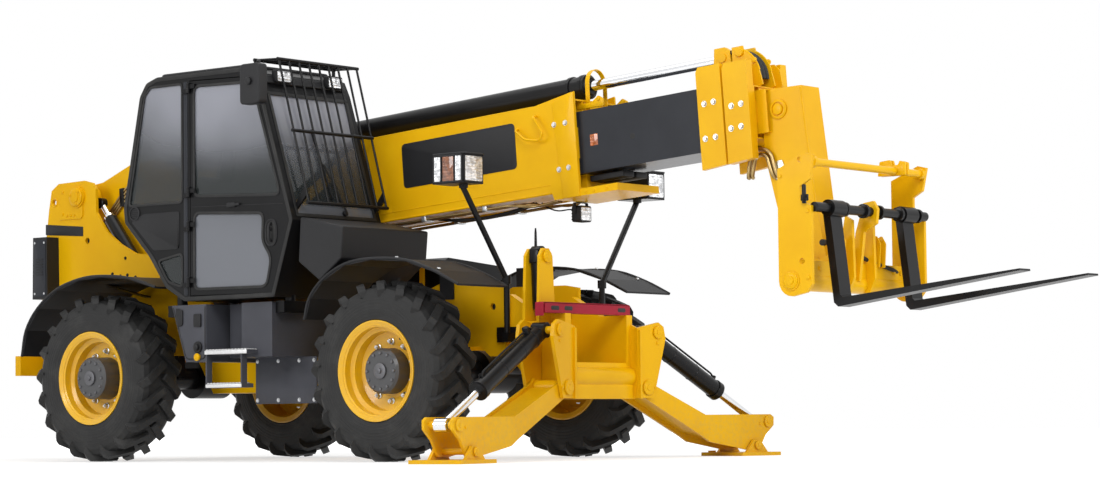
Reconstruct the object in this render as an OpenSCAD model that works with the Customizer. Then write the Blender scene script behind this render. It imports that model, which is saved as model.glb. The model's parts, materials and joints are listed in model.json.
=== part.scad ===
// Telehandler: four-stage boom, side cab, four-wheel steering and front stabilisers.
// Millimetres, +X forward, +Y towards the engine side, +Z up, ground at z = 0.
// Side profiles are given from the rear axle; rear_axle_x places that axle in the part's frame.

/* [Layout] */
// Place of the rear axle along the machine, from the middle of its length
rear_axle_x = -2805; // [-2900:5:-2700]
// Distance between the two axles
wheel_base = 2750; // [2740:2:2770]
// Distance between the middles of the left and right tyres
track = 1948; // [1940:2:1960]

/* [Wheels] */
// Radius of a tyre over its lugs, and so the height of the axles
tyre_r = 595; // [585:1:600]
// Width of a tyre
tyre_w = 380; // [370:1:390]
// Height of a lug over the casing
lug_h = 42; // [30:1:48]
// Thickness of a lug along the tread
lug_t = 52; // [40:1:60]
// Slant of a lug to the axle
lug_slant = 38; // [30:1:42]
// Lugs on each half of a tyre
lug_count = 20; // [16:1:22]
// Radius of the rim's flange
flange_r = 332; // [325:1:338]
// Radius of the seat that the tyre's bead sits on
seat_r = 300; // [294:1:304]
// Width between the rim's flanges
rim_w = 330; // [320:1:336]
// Thickness of a flange and of the rim's barrel
rim_t = 12; // [8:1:14]
// Radius of the hub that covers the planetary gear
hub_r = 150; // [140:1:156]
// Radius of the spindle that carries a wheel
spindle_r = 60; // [50:1:70]

/* [Axles] */
// Half the height of an axle beam
beam_r = 78; // [65:1:85]
// Radius of the differential housing
diff_r = 165; // [150:1:170]
// Distance of a kingpin from the middle of its tyre
kingpin_in = 174; // [166:1:182]
// Radius of a kingpin
kingpin_r = 24; // [18:1:30]

/* [Chassis] */
// Half the width over the two rails
frame_half = 400; // [390:1:410]
// Thickness of a rail plate
rail_t = 25; // [18:1:30]
// Height of the boom's pivot
pivot_z = 1986; // [1980:1:2000]
// Place of the boom's pivot, from the rear axle
pivot_x = -974; // [-985:1:-960]
// Radius of the boom's pivot pin
pivot_r = 50; // [40:1:55]

/* [Cab] */
// Outer face of the cab on its own side
cab_out = 1130; // [1115:1:1140]
// Inner face of the cab beside the boom
cab_in = 245; // [240:1:260]
// Thickness of the cab's walls and door
cab_wall = 38; // [30:1:45]
// Thickness of the glass
glass_t = 8; // [5:1:10]
// Clearance round the door
door_gap = 6; // [5:0.5:8]
// Radius of a bar in the screen guard
bar_r = 8; // [6:0.5:10]
// Bars in the screen guard
bar_count = 9; // [7:1:11]

/* [Boom] */
// Angle of the boom above level, as parked
boom_angle = 4.2; // [3.8:0.1:4.6]
// Half the width of the outer section
outer_half = 225; // [220:1:230]
// Height of the outer section
outer_h = 600; // [590:1:606]
// Front end of the outer section, from the pivot
outer_end = 4686; // [4670:1:4700]
// Half the width of the second section
second_half = 190; // [186:1:194]
// Height of the second section
second_h = 412; // [406:1:418]
// Half the width of the third section
third_half = 160; // [157:1:163]
// Height of the third section
third_h = 340; // [336:1:344]
// Half the width of the fourth section
fourth_half = 130; // [127:1:132]
// Height of the fourth section
fourth_h = 276; // [272:1:280]
// Wall of the boom's sections
boom_wall = 10; // [8:1:11]
// Middle of the sections, below the pivot
boom_mid = 241; // [238:1:244]
// Axis of the extension ram above the pivot
ext_w = 155; // [150:1:162]
// Outer radius of the extension ram's barrel
ext_r = 78; // [70:1:82]
// Radius of the extension ram's rod
ext_rod_r = 35; // [30:1:40]

/* [Lift ram] */
// Place of the lift ram's lower pin, from the rear axle
lift_x = -655; // [-665:1:-645]
// Height of the lift ram's lower pin
lift_z = 829; // [820:1:840]
// Distance of the lift ram's upper pin from the boom's pivot, along the boom
lift_u = 2110; // [2090:1:2130]
// Depth of the lift ram's upper pin below the boom's pivot
lift_w = 700; // [690:1:710]
// Outer radius of the lift ram's barrel
lift_r = 85; // [75:1:90]
// Radius of the lift ram's rod
lift_rod_r = 45; // [38:1:50]

/* [Carriage] */
// Place of the tilt pivot, from the rear axle
tilt_x = 5500; // [5490:1:5510]
// Height of the tilt pivot
tilt_z = 1160; // [1150:1:1170]
// Half the width over the carriage's side plates
carriage_half = 655; // [640:1:665]
// Thickness of the carriage's side plates
carriage_t = 25; // [18:1:30]
// Half the width of the nose
nose_half = 100; // [95:1:104]
// Distance of a fork from the middle
fork_y = 410; // [330:1:480]
// Width of a fork
fork_w = 125; // [100:1:140]
// Thickness of a fork at its heel
fork_t = 50; // [40:1:55]
// Length of a fork in front of its shank
fork_l = 1235; // [1000:5:1240]
// Slope of the forks, as parked
fork_slope = 7.2; // [6:0.1:8]

/* [Stabilisers] */
// Place of the middle of a leg's pivot, ahead of the front axle
leg_ahead = 890; // [880:1:900]
// Distance of a leg's pivot from the middle
leg_y = 447; // [440:1:455]
// Height of a leg's pivot
leg_z = 474; // [468:1:480]
// Forward splay of a leg
leg_splay = 7; // [4:0.5:9]
// Width of a leg
leg_w = 230; // [210:1:250]
// Reach from a leg's pivot to its foot's pivot
foot_v = 1095; // [1080:1:1105]
// Radius of a leg ram's barrel
leg_ram_r = 60; // [50:1:66]
// Radius of a leg ram's rod
leg_rod_r = 28; // [22:1:32]
// Thickness of a foot's base plate
pad_t = 25; // [20:1:30]

/* [Fits] */
// Radial clearance of a pin in its bore
pin_fit = 0.05; // [0.02:0.01:0.1]
// Clearance of a ram's rod in its gland, and of a pane or tyre in its seat
seat_gap = 0.3; // [0.2:0.05:0.5]
// Clearance of a wear pad on the section that slides in it
pad_gap = 0.8; // [0.5:0.1:1]

/* [Hidden] */
$fn = 48;
// Side of each wheel in the order fl, fr, rl, rr
WHEEL_SIDES = [1, -1, 1, -1];

yellow = "#f2a900";
black = "#26282b";
slate = "#3c4046";
chrome = "#c9ccd0";

leg_x = wheel_base + leg_ahead;

// Plane geometry

function unit(v) = v / norm(v);
function left(v) = [-v[1], v[0]];
function lerp(a, b, t) = a + (b - a) * t;
// A point at share t of the edge a-b, at distance d to its left
function beside(a, b, t, d) = lerp(a, b, t) + left(unit(b - a)) * d;
// The outline p, run anticlockwise, moved inwards by d
function inset(p, d) = [for (i = [0:len(p) - 1])
    let (n = len(p), a = p[(i + n - 1) % n], b = p[i], c = p[(i + 1) % n],
         m = left(unit(b - a)), k = left(unit(c - b)))
    b + d * (m + k) / (1 + m * k)];
// A strip of thickness t whose one side is the open line p
function ribbon(p, t) = concat(p, [for (j = [len(p) - 1:-1:0])
    let (a = p[max(j - 1, 0)], b = p[j], c = p[min(j + 1, len(p) - 1)],
         m = left(unit(j == 0 ? c - b : b - a)),
         k = left(unit(j == len(p) - 1 ? b - a : c - b)))
    b + t * (m + k) / (1 + m * k)]);
// Points on an arc round c from angle a to angle b
function arc(c, r, a, b, n = 8) = [for (i = [0:n]) c + r * [cos(lerp(a, b, i / n)), sin(lerp(a, b,
    i / n))]];

// Placing helpers

module machine() {
    translate([rear_axle_x, 0, 0]) children();
}

// A plate with the side profile p, from y to y + t
module plate_y(p, y, t) {
    translate([0, y + t, 0]) rotate([90, 0, 0]) linear_extrude(t) polygon(p);
}

// The same plate on both sides, its inner face at y
module plates_y(p, y, t) {
    plate_y(p, y, t);
    plate_y(p, -y - t, t);
}

// A plate with the front profile p (y, z), from x to x + t
module plate_x(p, x, t) {
    translate([x, 0, 0]) rotate([90, 0, 90]) linear_extrude(t) polygon(p);
}

module pin_y(x, z, r, y0, y1) {
    translate([x, y1, z]) rotate([90, 0, 0]) cylinder(r = r, h = y1 - y0);
}

module pin_x(y, z, r, x0, x1) {
    translate([x0, y, z]) rotate([0, 90, 0]) cylinder(r = r, h = x1 - x0);
}

module rod(a, b, r) {
    v = b - a;
    translate(a) rotate([0, acos(v[2] / norm(v)), atan2(v[1], v[0])]) cylinder(r = r, h = norm(v));
}

// Boom frame: x along the boom from its pivot, z square to it
module boom_frame() {
    machine() translate([pivot_x, 0, pivot_z]) rotate([0, -boom_angle, 0]) children();
}

module half_plane_y(side) {
    if (side < 0)
        mirror([0, 1, 0]) children();
    else
        children();
}

// Wheels

wheel_x = [wheel_base, 0];
casing_r = tyre_r - lug_h;
crown_half = tyre_w / 2 - 14;

// Half profile of the casing as (radius, distance from the middle)
casing = [[seat_r + seat_gap, 0], [seat_r + seat_gap, rim_w / 2 - seat_gap],
    [flange_r + 2, rim_w / 2 - seat_gap], [flange_r + 6, rim_w / 2 + 8],
    [lerp(flange_r, casing_r, 0.28), tyre_w / 2 - 6], [lerp(flange_r, casing_r, 0.55), tyre_w / 2 - 8],
    [casing_r - 46, tyre_w / 2 - 14], [casing_r - 14, tyre_w / 2 - 34], [casing_r, tyre_w / 2 - 72],
    [casing_r + 4, 0]];

// Height of a slanted lug whose top stays inside the tyre's radius, at s along it
function lug_top(s) = sqrt(pow(tyre_r, 2) - pow(abs(s) * sin(lug_slant) + lug_t / 2, 2));

module lug(side) {
    reach = crown_half / cos(lug_slant);
    half_plane_y(side)
        rotate([0, 0, -lug_slant])
            translate([-lug_t / 2, 0, 0])
                plate_x([[-8, casing_r - 60], [reach - 4, casing_r - 76], [reach + 6, casing_r - 40],
                    [reach - 8, lug_top(reach) - 18], [reach - 34, lug_top(reach - 34)],
                        [reach / 2, lug_top(reach / 2)],
                    [0, lug_top(0)], [-8, lug_top(8) - 10]], 0, lug_t);
}

module tyre() {
    color("#2b2b2c") rotate([-90, 0, 0]) {
        rotate([0, 0, 90]) rotate_extrude($fn = 72)
            polygon(concat(casing, [for (i = [len(casing) - 1:-1:0]) [casing[i][0], -casing[i][1]]]));
    }
    color("#2b2b2c")
        for (i = [0:lug_count - 1], side = [-1, 1])
            rotate([0, (i + (side + 1) / 4) * 360 / lug_count, 0]) lug(side);
}

// Rim with its disc and hub; y runs outwards and cap is the hub's outer face
module rim(cap) {
    w = rim_w / 2;
    color(yellow) difference() {
        rotate([-90, 0, 0]) rotate_extrude($fn = 72)
            polygon([[seat_r - rim_t, -w - 4], [flange_r - 8, -w - rim_t], [flange_r, -w - rim_t],
                [flange_r, -w],
                [seat_r, -w], [seat_r, w], [flange_r, w], [flange_r, w + rim_t], [flange_r - 8, w + rim_t],
                [seat_r - rim_t, w - 10], [seat_r - rim_t, w - 60], [seat_r - 40, w - 74],
                    [seat_r - 44, 30],
                [hub_r + 24, 4], [hub_r, 4], [hub_r, cap - 16], [hub_r - 16, cap], [40, cap],
                    [40, cap + 6], [0, cap + 6],
                [0, -60], [hub_r - 30, -60], [hub_r - 20, -12], [hub_r + 24, -12], [seat_r - 56, 18],
                    [seat_r - rim_t, 18]]);
        rotate([90, 0, 0]) translate([0, 0, -60]) cylinder(r = spindle_r + pin_fit, h = 200);
    }
}

module wheel_at(i) {
    machine() translate([wheel_x[i < 2 ? 0 : 1], WHEEL_SIDES[i] * track / 2, tyre_r])
        half_plane_y(WHEEL_SIDES[i]) children();
}

// Hub carrier that turns on the kingpins and holds the spindle
module knuckle(i) {
    color(slate) wheel_at(i) difference() {
        union() {
            translate([0, -kingpin_in, -92]) cylinder(r = 66, h = 184);
            pin_y(0, 0, 88, -kingpin_in, -70);
            pin_y(0, 0, spindle_r, -kingpin_in, 55);
            translate([-30, -kingpin_in - 20, -30]) cube([190, 50, 60]);
        }
        translate([0, -kingpin_in, -100]) cylinder(r = kingpin_r + pin_fit, h = 200);
    }
}

module axle(x) {
    reach = track / 2 - kingpin_in;
    translate([x, 0, tyre_r]) {
        pin_y(0, 0, beam_r, -reach + 96, reach - 96);
        pin_y(0, 0, diff_r - 20, -150, 150);
        rotate([0, 90, 0]) translate([0, 0, -210]) cylinder(r1 = 60, r2 = diff_r - 30, h = 210);
        for (s = [-1, 1]) half_plane_y(s) {
            translate([-115, 330, 0]) cube([230, 68, axle_seat - tyre_r]);
            translate([-70, reach - 130, -135]) cube([140, 48, 270]);
            for (k = [-1, 1]) {
                translate([-60, reach - 90, k > 0 ? 98 : -128]) cube([120, 90, 30]);
                translate([0, reach, k > 0 ? 98 : -128]) cylinder(r = 60, h = 30);
                translate([0, reach, k > 0 ? 20 : -128]) cylinder(r = kingpin_r, h = 108);
            }
        }
    }
}

// Height of the rail's edge over an axle
axle_seat = 760;

module axles() {
    color(black) machine() {
        axle(wheel_base);
        axle(0);
    }
}

// Chassis

rail_front = wheel_base + 490;
rail_bottom = 480;
rail_top = 1060;
// Top of the beams that carry the cab
outrigger_top = 1090;

// Where a rail meets its high rear plate
rail_rear = 480;

rail = [[rail_rear, rail_bottom], [wheel_base - 420, rail_bottom], [wheel_base - 270, axle_seat],
    [wheel_base + 260, axle_seat], [wheel_base + 350, 690], [rail_front, 690], [rail_front, 1165],
    [rail_front - 120, 1185], [wheel_base - 90, 1190], [wheel_base - 450, rail_top], [700, rail_top],
        [rail_rear, 1110]];
rear_plate = [[-1290, 700], [-1000, 620], [-450, 620], [-300, axle_seat], [300, axle_seat],
    [rail_rear, rail_bottom],
    [rail_rear, 1110], [120, 1490], [-200, 1515], [-344, 1533], [-505, 1609], [-648, 1706],
        [-714, 1785], [-768, 1863],
    [-775, 2040], [-810, 2085], [-900, 2108], [-1190, 2100], [-1270, 2050], [-1300, 1900],
        [-1370, 1400], [-1370, 1000]];
doubler = [[-1170, 1822], [-934, 1822], [-912, 1844], [-912, 2030], [-934, 2056], [-1090, 2072],
    [-1170, 2050]];
rail_in = frame_half - rail_t;
pivot_boss_r = pivot_r + 32;

module rails() {
    color(yellow) machine() for (s = [-1, 1]) half_plane_y(s) difference() {
        plate_y(rail, rail_in, rail_t);
        pin_y(wheel_base + 377, 1020, 24, rail_in - 5, frame_half + 5);
    }
}

module rear_plates() {
    color(yellow) machine() for (s = [-1, 1]) half_plane_y(s) difference() {
        union() {
            plate_y(rear_plate, rail_in, rail_t);
            plate_y(doubler, frame_half, 8);
            pin_y(pivot_x, pivot_z, pivot_boss_r, frame_half, frame_half + 16);
        }
        // Lifting eye and lightening hole
        pin_y(-1235, 1960, 22, rail_in - 5, frame_half + 5);
        pin_y(-865, 1651, 24, rail_in - 5, frame_half + 5);
    }
}

// A cross member between the rails
module between_rails(x, z, l, h) {
    translate([x, -rail_in, z]) cube([l, 2 * rail_in, h]);
}

module chassis() {
    color(yellow) machine() {
        between_rails(rail_rear, rail_bottom, wheel_base - 900, rail_t);
        between_rails(180, 800, 120, 60);
        between_rails(wheel_base - 480, 640, 120, 90);
        between_rails(rail_front - 60, 700, 60, 250);
        // Beams under the cab
        for (x = [700, 1752])
            translate([x, -1050, rail_top - 50]) cube([78, 1050 - frame_half,
                outrigger_top - rail_top + 50]);
        // Pivot of the boom, between its two bosses
        pin_y(pivot_x, pivot_z, pivot_r, -rail_in, rail_in);
        for (s = [-1, 1]) half_plane_y(s)
            pin_y(pivot_x, pivot_z, pivot_boss_r, outer_half + 5, rail_in);
        // Seat of the lift ram
        between_rails(lift_x - 150, 640, 300, 90);
        for (s = [-1, 1]) half_plane_y(s)
            plate_y([[lift_x - 75, 720], [lift_x + 75, 720], [lift_x + 45, lift_z + 40],
                [lift_x, lift_z + 62],
                [lift_x - 45, lift_z + 40]], 56, 26);
        pin_y(lift_x, lift_z, lift_pin_r, -70, 70);
        // Rear mass and bumper with the drawbar jaw
        difference() {
            union() {
                between_rails(-1370, 800, 200, 560);
                translate([-1430, -620, 640]) cube([60, 1240, 150]);
                translate([-1370, -260, 620]) cube([100, 520, 180]);
                translate([-1560, -90, 560]) cube([190, 180, 30]);
                translate([-1430, -90, 560]) cube([60, 180, 100]);
            }
            translate([-1500, 0, 550]) cylinder(r = 20, h = 60);
        }
    }
}

module rear_lamps() {
    color(black) machine() for (s = [-1, 1]) half_plane_y(s)
        plate_y([[-1350, 1220], [-1180, 1220], [-1190, 1690], [-1345, 1690]], frame_half, 120);
}

// Fenders as bent strips over the tyres

rear_fender = [[-735, 770], [-690, 960], [-560, 1120], [-360, 1245], [-120, 1310], [110, 1325],
    [400, 1300], [675, 1225]];
front_fender = [[-655, 360], [-610, 500], [-490, 620], [-290, 715], [-50, 742], [250, 720], [500, 640],
    [705, 545]];

module fenders() {
    color(black) machine() for (s = [-1, 1]) half_plane_y(s) {
        plate_y(ribbon(rear_fender, -14), frame_half, cab_out + 20 - frame_half);
        plate_y(ribbon([for (p = front_fender) p + [wheel_base, tyre_r]], -14), 640, cab_out - 640);
        translate([wheel_base - 80, frame_half, 1080]) cube([120, 12, 236]);
        translate([wheel_base - 80, frame_half, 1304]) cube([120, 280, 19]);
    }
}

fairing_side = [[-720, 1340], [-525, 1205], [-330, 1345], [-310, 1560], [-700, 1640]];

module fairing() {
    color(black) machine() {
        plate_y([for (p = fairing_side) p + [wheel_base, 0]], -cab_out + 10, cab_out - frame_half + 130);
        translate([wheel_base - 570, -frame_half, rail_top]) cube([100, rail_t, 200]);
    }
}

// Boxes under the cab: tank, battery box, steps and the guard of the drive line
step_out = 1180;

module tank_steps() {
    color(slate) machine() {
        plate_y([[960, 690], [1160, 690], [1160, 1085], [820, 1085]], -cab_out, cab_out - frame_half);
        translate([1190, -930, 715]) cube([265, 930 - frame_half, 370]);
        translate([1455, -1080, 715]) cube([290, 1080 - frame_half, 370]);
        // Upper tread, and the lower one on its two hangers
        translate([1195, -step_out, 735]) cube([410, step_out - 930, 28]);
        translate([1205, -step_out, 506]) cube([350, 110, 28]);
        for (x = [1205, 1543])
            translate([x, -step_out, 506]) cube([12, 50, 240]);
        translate([1282, -772, 395]) cube([580, 12, 320]);
    }
}

// Cab

cab = [[337, 1790], [350, 1683], [600, 1436], [765, 1212], [949, 1112], [1818, 1112], [1993, 1626],
    [1700, 2546],
    [1650, 2650], [1550, 2695], [680, 2695], [570, 2660], [505, 2570]];
door = [[1010, 1150], [1800, 1142], [1963, 1630], [1678, 2528], [1625, 2625], [1010, 2640]];
door_upper = [[1052, 1842], [1870, 1806], [1640, 2508], [1598, 2584], [1052, 2598]];
door_lower = [[1052, 1196], [1742, 1190], [1786, 1380], [1702, 1490], [1712, 1682], [1052, 1716]];
quarter = [[392, 1806], [925, 1806], [925, 2625], [610, 2625], [555, 2570]];
quarter_low = [[690, 1400], [790, 1256], [925, 1216], [925, 1440]];
inner_side = [[520, 1760], [1850, 1760], [1615, 2580], [620, 2600]];
screen = [cab[6], cab[7]];
backlight = [cab[12], cab[0]];
cab_y0 = -cab_out + 46;
cab_y1 = -cab_in - 46;

// The edge e as a strip between shares t0 and t1, from depth d0 to d1
function strip(e, t0, t1, d0, d1) = [beside(e[0], e[1], t0, d0), beside(e[0], e[1], t1, d0),
    beside(e[0], e[1], t1, d1), beside(e[0], e[1], t0, d1)];

// Axis, heights, pin and knuckles of the door's hinges
door_axis = [1004, -cab_out - 16];
hinge_heights = [1237, 1626, 1862, 2588];
hinge_pin_r = 8;
hinge_r = 14;
hinge_h = 30;

// Half a hinge: a knuckle on the axis and the flap that joins it to the face of the cab
module hinge_half(z, reach) {
    translate([door_axis[0], door_axis[1], z]) cylinder(r = hinge_r, h = hinge_h, $fn = 24);
    translate([door_axis[0] + min(reach, 0), door_axis[1], z]) cube([abs(reach), 16, hinge_h]);
}

module cab_shell() {
    color(black) machine() {
        for (z = hinge_heights) {
            hinge_half(z - 31, -62);
            translate([door_axis[0], door_axis[1], z - 31]) cylinder(r = hinge_pin_r, h = 66, $fn = 24);
        }
        difference() {
            plate_y(cab, -cab_out, cab_out - cab_in);
            plate_y(inset(cab, cab_wall), -cab_out + cab_wall, cab_out - cab_in - 2 * cab_wall);
            plate_y(inset(door, -door_gap), -cab_out - 10, cab_wall + 20);
            plate_y(quarter, -cab_out - 10, cab_wall + 20);
            plate_y(quarter_low, -cab_out - 10, cab_wall + 20);
            plate_y(inner_side, -cab_in - cab_wall - 10, cab_wall + 20);
            plate_y(strip(screen, 0.05, 0.95, -60, 90), cab_y0, cab_y1 - cab_y0);
            plate_y(strip(backlight, 0.05, 0.95, -60, 90), cab_y0, cab_y1 - cab_y0);
        }
        // Seat base and the rubber feet on the beams
        translate([800, -860, 1140]) cube([380, 360, 110]);
        for (y = [-950, -450]) {
            translate([739, y, outrigger_top]) cylinder(r = 36, h = 170);
            translate([1791, y, outrigger_top]) cylinder(r = 36, h = 40);
        }
    }
}

module cab_glass() {
    g = seat_gap;
    color("#5b5668", 0.5) machine() {
        plate_y(inset(quarter, g), -cab_out + 6, glass_t);
        plate_y(inset(quarter_low, g), -cab_out + 6, glass_t);
        plate_y(inset(inner_side, g), -cab_in - 6 - glass_t, glass_t);
        plate_y(strip(screen, 0.0505, 0.9495, 8, 8 + glass_t), cab_y0 + g, cab_y1 - cab_y0 - 2 * g);
        plate_y(strip(backlight, 0.0505, 0.9495, 8, 8 + glass_t), cab_y0 + g, cab_y1 - cab_y0 - 2 * g);
    }
}

module cab_door() {
    color(black) machine() difference() {
        union() {
            plate_y(door, -cab_out, cab_wall);
            for (z = hinge_heights)
                hinge_half(z, 62);
        }
        translate([door_axis[0], door_axis[1], 0]) cylinder(r = hinge_pin_r + pin_fit, h = 3000, $fn = 24);
        plate_y(door_upper, -cab_out - 10, cab_wall + 20);
        plate_y(door_lower, -cab_out - 10, cab_wall + 20);
    }
}

module door_glass() {
    color("#5b5668", 0.5) machine() {
        plate_y(inset(door_upper, seat_gap), -cab_out + 6, glass_t);
        plate_y(inset(door_lower, seat_gap), -cab_out + 6, glass_t);
    }
}

// Cushion and backrest, side by side on the seat base
cushion = [[882, 1250], [1230, 1250], [1250, 1370], [900, 1395]];
backrest = [[800, 1250], [880, 1250], [897, 1395], [830, 2020], [700, 2010]];

module seat() {
    color("#303034") machine()
        for (p = [cushion, backrest])
            plate_y(p, -920, 480);
}

module steering_column() {
    color(black) machine() {
        plate_y([[1650, 1150], [1780, 1150], [1900, 1560], [1800, 1640], [1690, 1600]], -900, 440);
        rod([1730, -680, 1560], [1560, -680, 1760], 26);
        translate([1560, -680, 1760]) rotate([0, -40, 0]) {
            rotate_extrude($fn = 48) translate([165, 0]) circle(r = 14, $fn = 24);
            for (a = [0, 120, 240])
                rotate([0, 0, a]) translate([10, -14, -5]) cube([150, 28, 10]);
            translate([0, 0, -16]) cylinder(r = 36, h = 30);
        }
    }
}

module screen_guard() {
    y0 = -cab_out + 70;
    y1 = -cab_in - 40;
    top = [1640, 2745];
    front = [1800, 2735];
    low = [2075, 1740];
    color(black) machine() {
        for (i = [0:bar_count - 1]) {
            y = lerp(y0, y1, i / (bar_count - 1));
            rod([top[0] - 60, y, top[1]], [front[0], y, front[1]], bar_r);
            rod([front[0], y, front[1]], [low[0], y, low[1]], bar_r);
        }
        for (t = [0, 0.5, 1]) {
            p = lerp(front, low, t);
            pin_y(p[0], p[1], bar_r + 4, y0 - 14, y1 + 14);
        }
        pin_y(top[0] - 60, top[1], bar_r + 4, y0 - 14, y1 + 14);
        // Feet on the roof and brackets on the front pillars
        for (y = [y0 - 8, y1 - 8]) {
            translate([top[0] - 70, y, cab[9][1]]) cube([20, 16, 60]);
            plate_y([beside(screen[0], screen[1], 0.12, 0), lerp(front, low, 0.9) + [0, 14],
                lerp(front, low, 0.95) + [0, 4],
                beside(screen[0], screen[1], 0.08, 0)], y, 16);
        }
    }
}

// Mirror on the cab and the two lamp posts on the front of the chassis
module lamp_posts() {
    color(black) machine() {
        translate([1715, -cab_out - 200, 2415]) cube([165, 60, 255]);
        translate([1545, -cab_out - 14, 2644]) cube([56, 14, 36]);
        rod([1573, -cab_out - 12, 2662], [1750, -cab_out - 180, 2640], 12);
        for (s = [-1, 1]) half_plane_y(s) translate([rail_front, frame_half, 0]) {
            rod([100, 110, 800], [100, 110, 1190], 20);
            rod([100, 110, 1187], [90, 570, 1830], 19);
            translate([100, 110, 1160]) cylinder(r = 30, h = 56);
            translate([-60, 0, 780]) cube([180, 25, 100]);
            translate([75, 10, 780]) cube([50, 125, 60]);
            translate([-40, 480, 1790]) cube([260, 200, 190]);
        }
    }
}

// Engine pod on the side away from the cab

pod_x0 = 760;
pod_x1 = wheel_base - 760;
pod_y0 = frame_half + 5;
pod_y1 = 1140;
pod_z0 = 560;
pod_z1 = 1180;
pod_wall = 30;

module engine_pod() {
    color(yellow) machine() difference() {
        union() {
            translate([pod_x0, pod_y0, pod_z0]) cube([pod_x1 - pod_x0, pod_y1 - pod_y0, pod_z1 - pod_z0]);
            translate([pod_x0 + 100, frame_half, pod_z0 + 60]) cube([pod_x1 - pod_x0 - 200, 5, 300]);
            // Posts and pins of the lid's hinges
            for (x = hinge_x) {
                translate([x, hinge_y - 9, rail_top]) cube([40, 15, hinge_z - rail_top + 12]);
                pin_x(hinge_y, hinge_z, lid_pin_r, x, x + 92);
            }
        }
        translate([pod_x0 + pod_wall, pod_y0 + pod_wall, pod_z0 + pod_wall])
            cube([pod_x1 - pod_x0 - 2 * pod_wall, pod_y1 - pod_y0 - 2 * pod_wall, pod_z1]);
        for (i = [0:7])
            translate([pod_x0 + 160 + i * 120, pod_y1 - pod_wall - 5, pod_z0 + 150]) cube([60,
                pod_wall + 10, 340]);
    }
}

lid_gap = 6;
lid_wall = 25;
lid_pin_r = 10;
hinge_x = [880, 1780];
hinge_y = frame_half - 6;
hinge_z = 1400;
lid = [[pod_y0, pod_z1 + lid_gap], [pod_y1, pod_z1 + lid_gap], [pod_y1, pod_z1 + 90],
    [pod_y1 - 120, pod_z1 + 210],
    [pod_y0 + 60, pod_z1 + 250], [pod_y0, pod_z1 + 220]];

module engine_lid() {
    color(black) machine() difference() {
        union() {
            plate_x(lid, pod_x0, pod_x1 - pod_x0);
            for (x = hinge_x)
                pin_x(hinge_y, hinge_z, 18, x + 46, x + 90);
        }
        for (x = hinge_x) {
            translate([x - 6, hinge_y - 20, hinge_z - 40]) cube([52, 50, 90]);
            pin_x(hinge_y, hinge_z, lid_pin_r + pin_fit, x, x + 100);
        }
        plate_x([for (p = inset(lid, lid_wall)) p[1] < pod_z1 + 60 ? [p[0], pod_z1 - 10] : p],
            pod_x0 + lid_wall, pod_x1 - pod_x0 - 2 * lid_wall);
    }
}

module engine_block() {
    color("#6b6f72") machine() translate([900, 520, pod_z0 + pod_wall]) cube([900, 480, 560]);
}

// Stabilisers

module leg_frame(side) {
    machine() translate([leg_x, side * leg_y, leg_z]) half_plane_y(side) rotate([0, 0,
        -leg_splay]) children();
}

// Ram pins in the plane of a leg: top on the frame, end on the leg
ram_top = [98, 372];
ram_end = [1237, -236];
// Width of the eye on a leg ram's rod
leg_eye_w = 90;
// Radii of the pins of a leg, its ram and its foot
leg_pin_r = 30;
ram_pin_r = 25;
foot_pin_r = 20;

// Half the width of the beam between the legs
beam_half = 362;

module leg_brackets() {
    for (x = [-leg_w / 2 - 30, leg_w / 2 + 5])
        plate_x([[-95, -70], [60, -70], [178, 330], [160, 410], [110, 440], [-95, 400]], x, 25);
    pin_x(0, 0, leg_pin_r, -leg_w / 2 - 36, leg_w / 2 + 36);
    pin_x(ram_top[0], ram_top[1], ram_pin_r, -leg_w / 2 - 36, leg_w / 2 + 36);
}

module stabiliser_frame() {
    f = rail_front;
    beam = [[f + 260, 400], [f + 495, 400], [f + 495, 480], [f + 460, 640], [f + 260, 640]];
    color(yellow) {
        machine() {
            plate_y(beam, -beam_half, 2 * beam_half);
            pin_y(f + 450, 545, 66, -beam_half, beam_half);
            for (s = [-1, 1]) half_plane_y(s) {
                plate_y([[f, 690], [f + 260, 400], [f + 460, 400], [f + 470, 960], [f + 240, 960],
                    [f, 1100]],
                    beam_half - 62, 60);
                plate_y([[f + 240, 400], [f + 550, 400], [f + 550, 860], [f + 460, 900], [f + 240, 900]],
                    beam_half - 20, 20);
            }
            // Tower of the sway ram on the cab side
            for (x = [f + 212, f + 330])
                plate_x([[-488, 900], [-315, 900], [-340, 1340], [-375, 1388], [-435, 1388],
                    [-470, 1340]], x, 22);
            pin_x(-405, 1335, 24, f + 202, f + 360);
            translate([f + 212, -488, 850]) cube([140, 188, 60]);
        }
        for (s = [-1, 1]) leg_frame(s) leg_brackets();
    }
}

module safety_strut() {
    color("#a8324a") machine() translate([rail_front + 380, -560, 960]) difference() {
        cube([85, 905, 62]);
        translate([8, -10, 8]) cube([69, 925, 62]);
    }
}

leg = [[-62, -46], [0, -70], [560, -330], [640, -372], [1040, -435], [1150, -430], [1215, -330],
    [1300, -262],
    [1302, -205], [1270, -186], [600, -186], [62, 30], [30, 62], [-30, 62], [-62, 30]];

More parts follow.
